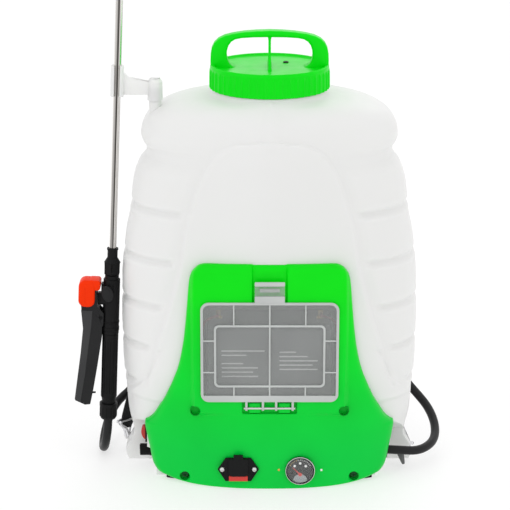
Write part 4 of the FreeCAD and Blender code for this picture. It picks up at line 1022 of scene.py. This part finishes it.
def build_handle():
    """The orange lock, the bridge and the oval boss on the valve body, and the lever's raised finger rest, in a lighter
    copy of the lever's plastic as painted light.
    """
    cap = slab("lock_cap", [rounded(-40.2, -19.6, 148.5, 183, 8.5, 10)], -11.6, 11.6, 2.6, "orange_plastic", 50)
    lip = slab("lock_lip", [rounded(-28, -13.4, 170.6, 183.2, 3.5)], -10.8, 10.8, 1.0, "orange_plastic", 50)
    ridge = slab("lock_ridge", [rounded(-39.2, -31, 151, 176, 3.8)], -12.0, 12.0, 1.4, "orange_plastic", 50)
    for part in (cap, lip, ridge):
        carve(part, block("lock_room", (-37.0, -9.3, 140), (-16.6, 9.3, 177.5)))
    put(on_handle(merged("lock_slide", [cap, lip, ridge])), "lock_knob", "orange_plastic", "lock_knob")
    bridge = slab("valve_bridge", [[(-16.4, 151), (-8, 151), (-8, 178), (-12.5, 178), (-12.5, 165.5), (-16.4, 165.5)]],
                  -5.5, 5.5, 0.6, "black_plastic")
    boss = slab("valve_boss", [ellipse(-4, 168, 6.8, 10.4, math.radians(-14))], -15.6, -12.2, 1.3, "lever_plastic", 50)
    dimple = slab("valve_boss_ring", [ellipse(-4, 168, 4.4, 7.6, math.radians(-14))], -16.2, -15.2, 0.4,
                  "lever_plastic", 50)
    put(on_handle(merged("valve_trim", [bridge, boss, dimple])), "root", "black_plastic")
    rest = slab("lever_rest", [[(-36.5, 143.8), (-33.7, 120), (-35.9, 88), (-42.0, 26.5), (-34.5, 23.0), (-29.5, 60),
                                (-26.6, 92), (-23.4, 122), (-22.2, 143.8)]], -9.5, 9.5, 0.8, "lever_plastic", 40)
    carve(rest, slab("rest_room", [[(-34, 144.5), (-30.6, 120), (-32.6, 88), (-38.2, 32), (-10, 28), (0, 104),
                                    (0, 144.5)]], -8.9, 8.9, 0.2, "lever_plastic"))
    # Painted light: the finger rest takes a lighter copy of the lever's plastic, for light on its lit side.
    repaint(rest.data, "lever_painted_light")
    put(on_handle(rest), "trigger_lever", "lever_plastic")


build_handle()


# ------------------------------------------------------------------ padded straps and back pad
def puffed(obj, cap):
    """Blows a closed shape up a little, as foam in a fabric cover. The cap is small and sets most of the swelling."""
    remesh = obj.modifiers.new("remesh", "REMESH")
    remesh.mode = "VOXEL"
    remesh.voxel_size = PAD_VOXEL * MM
    settle(obj)
    start = [v.co.copy() for v in obj.data.vertices]
    cloth = obj.modifiers.new("cloth", "CLOTH")
    cloth.settings.use_pressure = True
    cloth.settings.uniform_pressure_force = PAD_PRESSURE
    cloth.settings.effector_weights.gravity = 0
    cloth.point_cache.frame_start = 1
    cloth.point_cache.frame_end = CLOTH_FRAMES
    for step in range(1, CLOTH_FRAMES + 1):
        scene.frame_set(step)
    settle(obj)
    scene.frame_set(1)
    for vertex, before in zip(obj.data.vertices, start):
        move = vertex.co - before
        if move.length > cap * MM:
            vertex.co = before + move * (cap * MM / move.length)
    smooth = obj.modifiers.new("smooth", "SUBSURF")
    smooth.levels = 1
    smooth.render_levels = 1
    settle(obj)
    for face in obj.data.polygons:
        face.use_smooth = True
    return obj


def strap_line():
    """Length marks of the pad's side view, and its y and z as tables over length."""
    marks = [0.0]
    for (y0, z0), (y1, z1) in zip(STRAP_SIDE, STRAP_SIDE[1:]):
        marks.append(marks[-1] + math.hypot(y1 - y0, z1 - z0))
    return (marks[-1], [(m, p[0]) for m, p in zip(marks, STRAP_SIDE)], [(m, p[1]) for m, p in zip(marks, STRAP_SIDE)])


STRAP_LENGTH, STRAP_Y, STRAP_Z = strap_line()


def strap_point(side, along, across, out):
    """A place on a shoulder pad: along its length, across its width and out from its middle surface."""
    y, z = table_value(STRAP_Y, along), table_value(STRAP_Z, along)
    dy = table_value(STRAP_Y, along + 1) - table_value(STRAP_Y, along - 1)
    dz = table_value(STRAP_Z, along + 1) - table_value(STRAP_Z, along - 1)
    size = math.hypot(dy, dz) or 1.0
    y, z = y - out * dz / size, z + out * dy / size
    turn = -side * STRAP_SPREAD
    up = z - STRAP_PIVOT_Z
    return (across * math.cos(turn) + up * math.sin(turn) + side * STRAP_APART, y,
            STRAP_PIVOT_Z - across * math.sin(turn) + up * math.cos(turn))


def strap_width(along, half, power=7.0):
    share = abs(2 * along / STRAP_LENGTH - 1)
    return half * max(0.0, 1 - share**power) ** (1 / power)


def dashes(name, places):
    """Stitches: a short raised bar between each pair of places."""
    verts, faces = [], []
    for start, end, lift in places:
        a, b, up = Vector(start), Vector(end), Vector(lift).normalized()
        side = (b - a).cross(up).normalized() * 0.45
        base = len(verts)
        for centre, grow in ((a, 0.5), (a.lerp(b, 0.25), 1.0), (a.lerp(b, 0.75), 1.0), (b, 0.5)):
            verts += [tuple(centre - side * grow), tuple(centre + up * 0.5 * grow), tuple(centre + side * grow)]
        for ring in range(3):
            low = base + 3 * ring
            faces += [(low, low + 1, low + 4, low + 3), (low + 1, low + 2, low + 5, low + 4),
                      (low + 2, low, low + 3, low + 5)]
        faces += [(base, base + 2, base + 1), (base + 9, base + 10, base + 11)]
    return piece(name, verts, faces, "thread", 80)


def ribbon(name, centres, normals, widths, thickness, slot):
    """Flat webbing along a line: a rounded strip with a slightly crowned edge."""
    verts = []
    section = ((-1, -0.2), (-0.985, 0.42), (-0.93, 0.5), (-0.45, 0.44), (0, 0.47), (0.45, 0.44), (0.93, 0.5),
               (0.985, 0.42), (1, -0.2), (0.93, -0.5), (0, -0.46), (-0.93, -0.5))
    points = [Vector(c) for c in centres]
    for index, here in enumerate(points):
        ahead, behind = points[min(index + 1, len(points) - 1)], points[max(index - 1, 0)]
        normal = Vector(normals[index]).normalized()
        across = (ahead - behind).normalized().cross(normal).normalized()
        out = across.cross((ahead - behind).normalized())
        for u, v in section:
            verts.append(tuple(here + across * (u * widths[index] / 2) + out * (v * thickness)))
    return piece(name, verts, capped_faces(len(points), len(section)), slot, 45)


def smooth_line(points, steps):
    """A quadratic spline that has the given places as its control points."""
    marks = [Vector(p) for p in points]
    line = [marks[0]]
    for before, here, after in zip(marks, marks[1:], marks[2:]):
        start = before if before is marks[0] else (before + here) / 2
        end = after if after is marks[-1] else (here + after) / 2
        for step in range(1, steps + 1):
            t = step / steps
            line.append(start * (1 - t) ** 2 + here * 2 * t * (1 - t) + end * t * t)
    return line


def stitch(side, along, across, ahead, aside):
    """One stitch on a shoulder pad: its ends and the way it stands out."""
    start = strap_point(side, along, across, STITCH_OUT)
    end = strap_point(side, along + ahead, across + aside, STITCH_OUT)
    return start, end, Vector(strap_point(side, along, across, 9)) - Vector(start)


def build_shoulder_pad(side, name):
    rows, columns = 60, 24
    verts = []
    for row in range(rows + 1):
        along = STRAP_LENGTH * (0.012 + 0.976 * row / rows)
        half, thick = strap_width(along, 26.0), strap_width(along, 4.0, 14.0)
        for column in range(columns):
            angle = TURN * column / columns
            c, s = math.cos(angle), math.sin(angle)
            verts.append(strap_point(side, along, half * math.copysign(abs(c) ** 0.55, c),
                                     thick * math.copysign(abs(s) ** 0.8, s)))
    pad = puffed(piece(name, verts, capped_faces(rows + 1, columns), "pad_fabric"), SHOULDER_CAP)
    put(pad, "root", "pad_fabric", name)
    label = name.split("_")[-1]
    edge = []
    for sign in (1, -1):
        for step in range(41):
            along = STRAP_LENGTH * (0.01 + 0.98 * (step if sign > 0 else 40 - step) / 40)
            edge.append(strap_point(side, along, sign * (strap_width(along, 26.6) + 0.2), 0))
    put(wire("strap_binding_" + label, edge, 2.0, "webbing_fabric", closed=True, steps=5), "root", "webbing_fabric")
    centres, normals, stitches = [], [], []
    for step in range(57):
        along = STRAP_LENGTH * (0.035 + 0.95 * step / 56)
        centre, above = strap_point(side, along, 0, 7.0), strap_point(side, along, 0, 8.0)
        centres.append(centre)
        normals.append(Vector(above) - Vector(centre))
    strip = ribbon("strap_webbing_" + label, centres, normals, [WEBBING] * 57, 1.5, "webbing_fabric")
    put(strip, "root", "webbing_fabric")
    for step in range(62):
        along = STRAP_LENGTH * 0.045 + 5.3 * step
        if along + STITCH > STRAP_LENGTH * 0.975:
            break
        stitches += [stitch(side, along, across, STITCH, 0) for across in (-12, 12)]
    for base in (0.07, 0.93):
        for k in range(6):
            along = STRAP_LENGTH * base - 10 + 4 * k
            stitches += [stitch(side, along, across, 0, STITCH) for across in (-7, 4)]
    put(dashes("strap_stitches_" + label, stitches), "root", "webbing_fabric")


def pad_border(x, z, inset):
    """Distance of a place inside the back pad's outline, less an inset."""
    dx = abs(x) - (PAD_HALF - PAD_RADIUS)
    dz = abs(z - (PAD_LOW + PAD_HIGH) / 2) - ((PAD_HIGH - PAD_LOW) / 2 - PAD_RADIUS)
    outside = math.hypot(max(dx, 0), max(dz, 0)) + min(max(dx, dz), 0) - PAD_RADIUS
    return -outside - inset


def build_back_pad():
    core = slab("back_pad", [rounded(-PAD_HALF + 3, PAD_HALF - 3, PAD_LOW + 3, PAD_HIGH - 3, 37, 14)],
                PAD_BACK + 3, PAD_BACK + 16.5, 5.0, "pad_fabric")
    pad = puffed(core, BACK_CAP)
    for vertex in pad.data.vertices:
        x, y, z = (c / MM for c in vertex.co)
        if y > PAD_FACE:
            border = math.exp(-((pad_border(x, z, PAD_SEAM_INSET) / 2.6) ** 2))
            inner = max(0.0, min(1.0, pad_border(x, z, PAD_SEAM_INSET) / 6))
            bands = max(math.exp(-(((z - mark - 0.0035 * x * x) / 2.8) ** 2)) for mark in (152, 190, 228))
            y -= 3.4 * max(border, bands * inner)
        vertex.co.y = max(y, PAD_BACK - 1.2) * MM
    pad.data.materials.append(materials["pad_mesh"])
    for face in pad.data.polygons:
        x, y, z = face.center / MM
        if y > PAD_FACE and pad_border(x, z, PAD_SEAM_INSET) > 0:
            face.material_index = 1
    put(pad, "root", "pad_fabric", "back_pad")
    seam = [(x, PAD_BACK + 8.5, z) for x, z in rounded(-PAD_HALF + 1.2, PAD_HALF - 1.2, PAD_LOW + 1.2, PAD_HIGH - 1.2,
                                                       39, 8)]
    put(wire("back_pad_piping", seam, 2.2, "webbing_fabric", closed=True, steps=5), "root", "webbing_fabric")


def corner_place(side, depth, y, z):
    """World place of a point given in the plane of a strap's loose end."""
    x = depth * math.cos(CORNER) - y * math.sin(CORNER)
    return Vector((side * x, depth * math.sin(CORNER) + y * math.cos(CORNER), z))


def build_webbing():
    tails, stitches = [], []
    for side, label in ((-1, "left"), (1, "right")):
        control = [(side * 99.6, 138.5, 196), (side * 99.9, 139.6, 180), (side * 101, 139.6, 164),
                   (side * 101.2, 137.5, 152), (side * 102.5, 135.0, 141)]
        control += [tuple(corner_place(side, TAIL_DEPTH, y, z)) for y, z in STRAP_TAIL[side]]
        line = smooth_line(control, 8)
        flat = Vector((side * math.cos(CORNER), math.sin(CORNER), 0))
        normals, widths = [], []
        for here in line:
            normals.append(Vector((0, 1, 0)).lerp(flat, 1 - smooth_step(118, 150, here.z)))
            widths.append(WEBBING - 13 * (1 - smooth_step(23, 38, here.z)))
        tails.append(ribbon("strap_tail_" + label, line, normals, widths, 1.7, "webbing_fabric"))
        fold = [corner_place(side, TAIL_DEPTH + 1.9, y, z) for y, z in ((-83.2 + RING_SHIFT[side], 23.5),
                (-82.3 + RING_SHIFT[side], 29), (-80.6 + RING_SHIFT[side], 34.5))]
        tails.append(ribbon("strap_fold_" + label, fold, [flat] * 3, [14, 18, 22], 1.5, "webbing_fabric"))
        for k in range(5):
            y, z = -70 + 3.2 * k + RING_SHIFT[side], 72 + 3.4 * k
            for shift in (-8, 8):
                start = corner_place(side, TAIL_DEPTH + 1.0, y + shift * 0.75, z - shift * 0.66)
                end = corner_place(side, TAIL_DEPTH + 1.0, y + shift * 0.75 + 1.8, z - shift * 0.66 + 1.9)
                stitches.append((start, end, flat))
    put(merged("strap_tails", tails), "root", "webbing_fabric", "webbing")
    put(dashes("tail_stitches", stitches), "root", "webbing_fabric")
    rings = []
    for side in (-1, 1):
        shift = RING_SHIFT[side]
        bends = [corner_place(side, RING_DEPTH, y + shift, z) for y, z in RING]
        line = []
        for before, here, after in zip(bends[-1:] + bends[:-1], bends, bends[1:] + bends[:1]):
            line += [here.lerp(before, 0.18), here, here.lerp(after, 0.18)]
        rings.append(to_mesh(wire("wire_ring", line, 1.7, "chrome_wire", closed=True, steps=6)))
        corner = [corner_place(side, TAIL_DEPTH - 3.0, y + shift, z) for y, z in
                  ((-99.5, 36.5), (-98, 32), (-90.5, 27), (-86, 21.5), (-84.4, 13.5))]
        bar = [corner_place(side, TAIL_DEPTH - 2.6, y + shift, z) for y, z in ((-99.3, 37), (-81, 35.2), (-63.5, 33.4))]
        rings.append(to_mesh(wire("wire_corner", corner, 2.1, "chrome_wire", steps=6)))
        rings.append(to_mesh(wire("wire_bar", bar, 1.5, "chrome_wire", steps=4)))
    put(merged("strap_rings", rings), "root", "chrome_wire", "strap_hooks")


build_shoulder_pad(-1, "shoulder_pad_left")
build_shoulder_pad(1, "shoulder_pad_right")
build_back_pad()
build_webbing()


# ------------------------------------------------------------------ small fittings
def build_label():
    """Two groups of plain grey bars printed on the battery's front."""
    bars = []
    for x, low, widths in ((-58, 141, (44, 38, 44, 26)), (-58, 168, (30, 52)), (12, 150, (46, 40, 46, 34, 20))):
        for row, width in enumerate(widths):
            z = low + 5.5 * row
            bars.append(block("bar", (x, -98.25, z), (x + width, -97.9, z + 1.6), "label_print"))
    put(merged("battery_label", bars), "root", "battery_case")


def build_gauge_marks():
    """Scale ticks, a coloured band and a bright half ring on the gauge's dial."""
    x0, z0 = GAUGE
    marks = []
    for dx, dz in ((-6.8, 6.0), (0, 9.6), (6.8, 6.0)):
        marks.append(drum("dot", (x0 + dx, -112.2, z0 + dz), (x0 + dx, -111.8, z0 + dz),
                          ((0.1, 0), (1.4, 0), (1.6, 0.15), (1.6, 0.4), (0.1, 0.4)), "dial_print", 20))
    for k in range(13):
        angle = math.radians(150 - 10 * k)
        c, s, near, far = math.cos(angle), math.sin(angle), 13.2, 14.6
        outline = [(x0 + r * c - h * s, z0 + r * s + h * c) for r, h in
                   ((near, -0.25), (far, -0.25), (far, 0.25), (near, 0.25))]
        marks.append(slab("tick", [outline], -112.1, DIAL_BACK, 0.04, "gauge_gold" if k < 5 else "dial_print"))
    for dx in (-26, 26):
        marks.append(block("side_mark", (x0 + dx - 1.2, -110.35, z0 - 1.2), (x0 + dx + 1.2, -109.6, z0 + 1.6),
                           "gauge_gold" if dx < 0 else "dial_print", 0.3))
    put(merged("gauge_ticks", marks), "root", "white_plastic")
    dome = [(x0 + 8.4 * math.cos(a), z0 - 12.6 + 8.2 * math.sin(a)) for a in [math.pi * k / 20 for k in range(21)]]
    dome += [(x0 + dx, z0 - math.sqrt(240.0 - dx * dx)) for dx in (-6, -3, 0, 3, 6)]
    put(slab("gauge_plate", [dome], DIAL_FRONT, DIAL_BACK, 0.1, "motor_steel"), "root", "motor_steel")
    bezel = drum("gauge_bezel", (x0, -113.7, z0), (x0, -112.7, z0),
                 ((17.1, 0.3), (17.3, 0.0), (17.7, 0.0), (18.0, 0.4), (18.0, 3.4), (17.0, 3.4), (17.0, 1.0)),
                 "screw_steel", 64, ring=True)
    put(bezel, "root", "black_plastic")


def build_wires():
    """Thin bent wires at the foot and the small drain spike under the hose."""
    left = [(-167.5, 1.2, 15), (-169, 0.6, 12.5), (-172.5, 0.2, 8), (-176.5, 0.2, 3.5), (-178.2, 0.6, 2.2),
            (-178.0, 1.6, 3.4), (-174.5, 1.9, 7.6), (-170.5, 1.9, 12.6), (-168.2, 1.8, 15)]
    right = [(171.2, 1.2, 39), (174, 0.8, 32), (178, 0.4, 22), (181.2, 0.2, 15.5), (183.2, 0.4, 13.2),
             (185, 1.0, 15.2), (183.4, 1.6, 17.6), (181.6, 1.8, 15.8)]
    pieces = [to_mesh(wire("foot_wire", points, 0.75, "chrome_wire", steps=5)) for points in (left, right)]
    put(merged("foot_wires", pieces), "root", "chrome_wire")
    spike = drum("drain_spike", (165.4, -31, 16), (169.8, -36.5, 1.2),
                 ((0.2, 0), (4.2, 0), (4.4, 1), (3.6, 6), (2.3, 13.4), (1.7, 15.2), (0.8, 15.8), (0.2, 15.8)),
                 "battery_case", 24)
    put(spike, "root", "battery_case")


build_label()
build_gauge_marks()
build_wires()

# ------------------------------------------------------------------ carried-over CAD nodes
record_slots = {s["node"]: s["material_slot"] for s in frame["record"]["subparts"]}
replaced = {"tank", "tank_neck", "base_cover", "lid", "battery_door", "door_latch", "spray_hose", "lock_knob",
            "shoulder_pad_left", "shoulder_pad_right", "back_pad", "webbing", "strap_hooks"}
SOFT_EDGES = {"battery": 0.6, "trigger_lever": 0.3, "handle_body": 0.5, "handle_grip": 0.3, "lance_clip": 0.7,
              "strap_anchors": 2.2, "strap_buckles": 0.8, "charge_socket": 0.5, "speed_knob": 0.3, "hose_nut": 0.3,
              "lance_nut": 0.35, "nozzle_cap": 0.25, "nozzle_elbow": 0.4, "base_plate": 0.5, "rocker_switch": 0.4,
              "rocker_housing": 0.3, "socket_flap": 0.3, "socket_insert": 0.4, "outlet_nut": 0.3, "gauge_case": 0.4,
              "pump_head": 0.5, "pump_motor": 0.6, "pump_housing": 0.5, "strainer_basket": 0.3, "trigger_pin": 0.4}
for name, obj in nodes.items():
    if name in replaced:
        continue
    repaint(obj.data, record_slots[name])
    # Painted shade: the outer screws, in the cover's wells, take a dark green.
    if name == "front_screws":
        obj.data.materials.append(materials["screw_painted_shade"])
        for face in obj.data.polygons:
            face.material_index = 1 if abs(face.center.x) > FOOT_SCREW_X else 0
    if name in SOFT_EDGES:
        weld = obj.modifiers.new("weld", "WELD")
        weld.merge_threshold = 0.00002
        round_off(obj, SOFT_EDGES[name], 35)
        obj.modifiers["edges"].use_clamp_overlap = False
        even = obj.modifiers.new("even", "WEIGHTED_NORMAL")
        even.keep_sharp = False
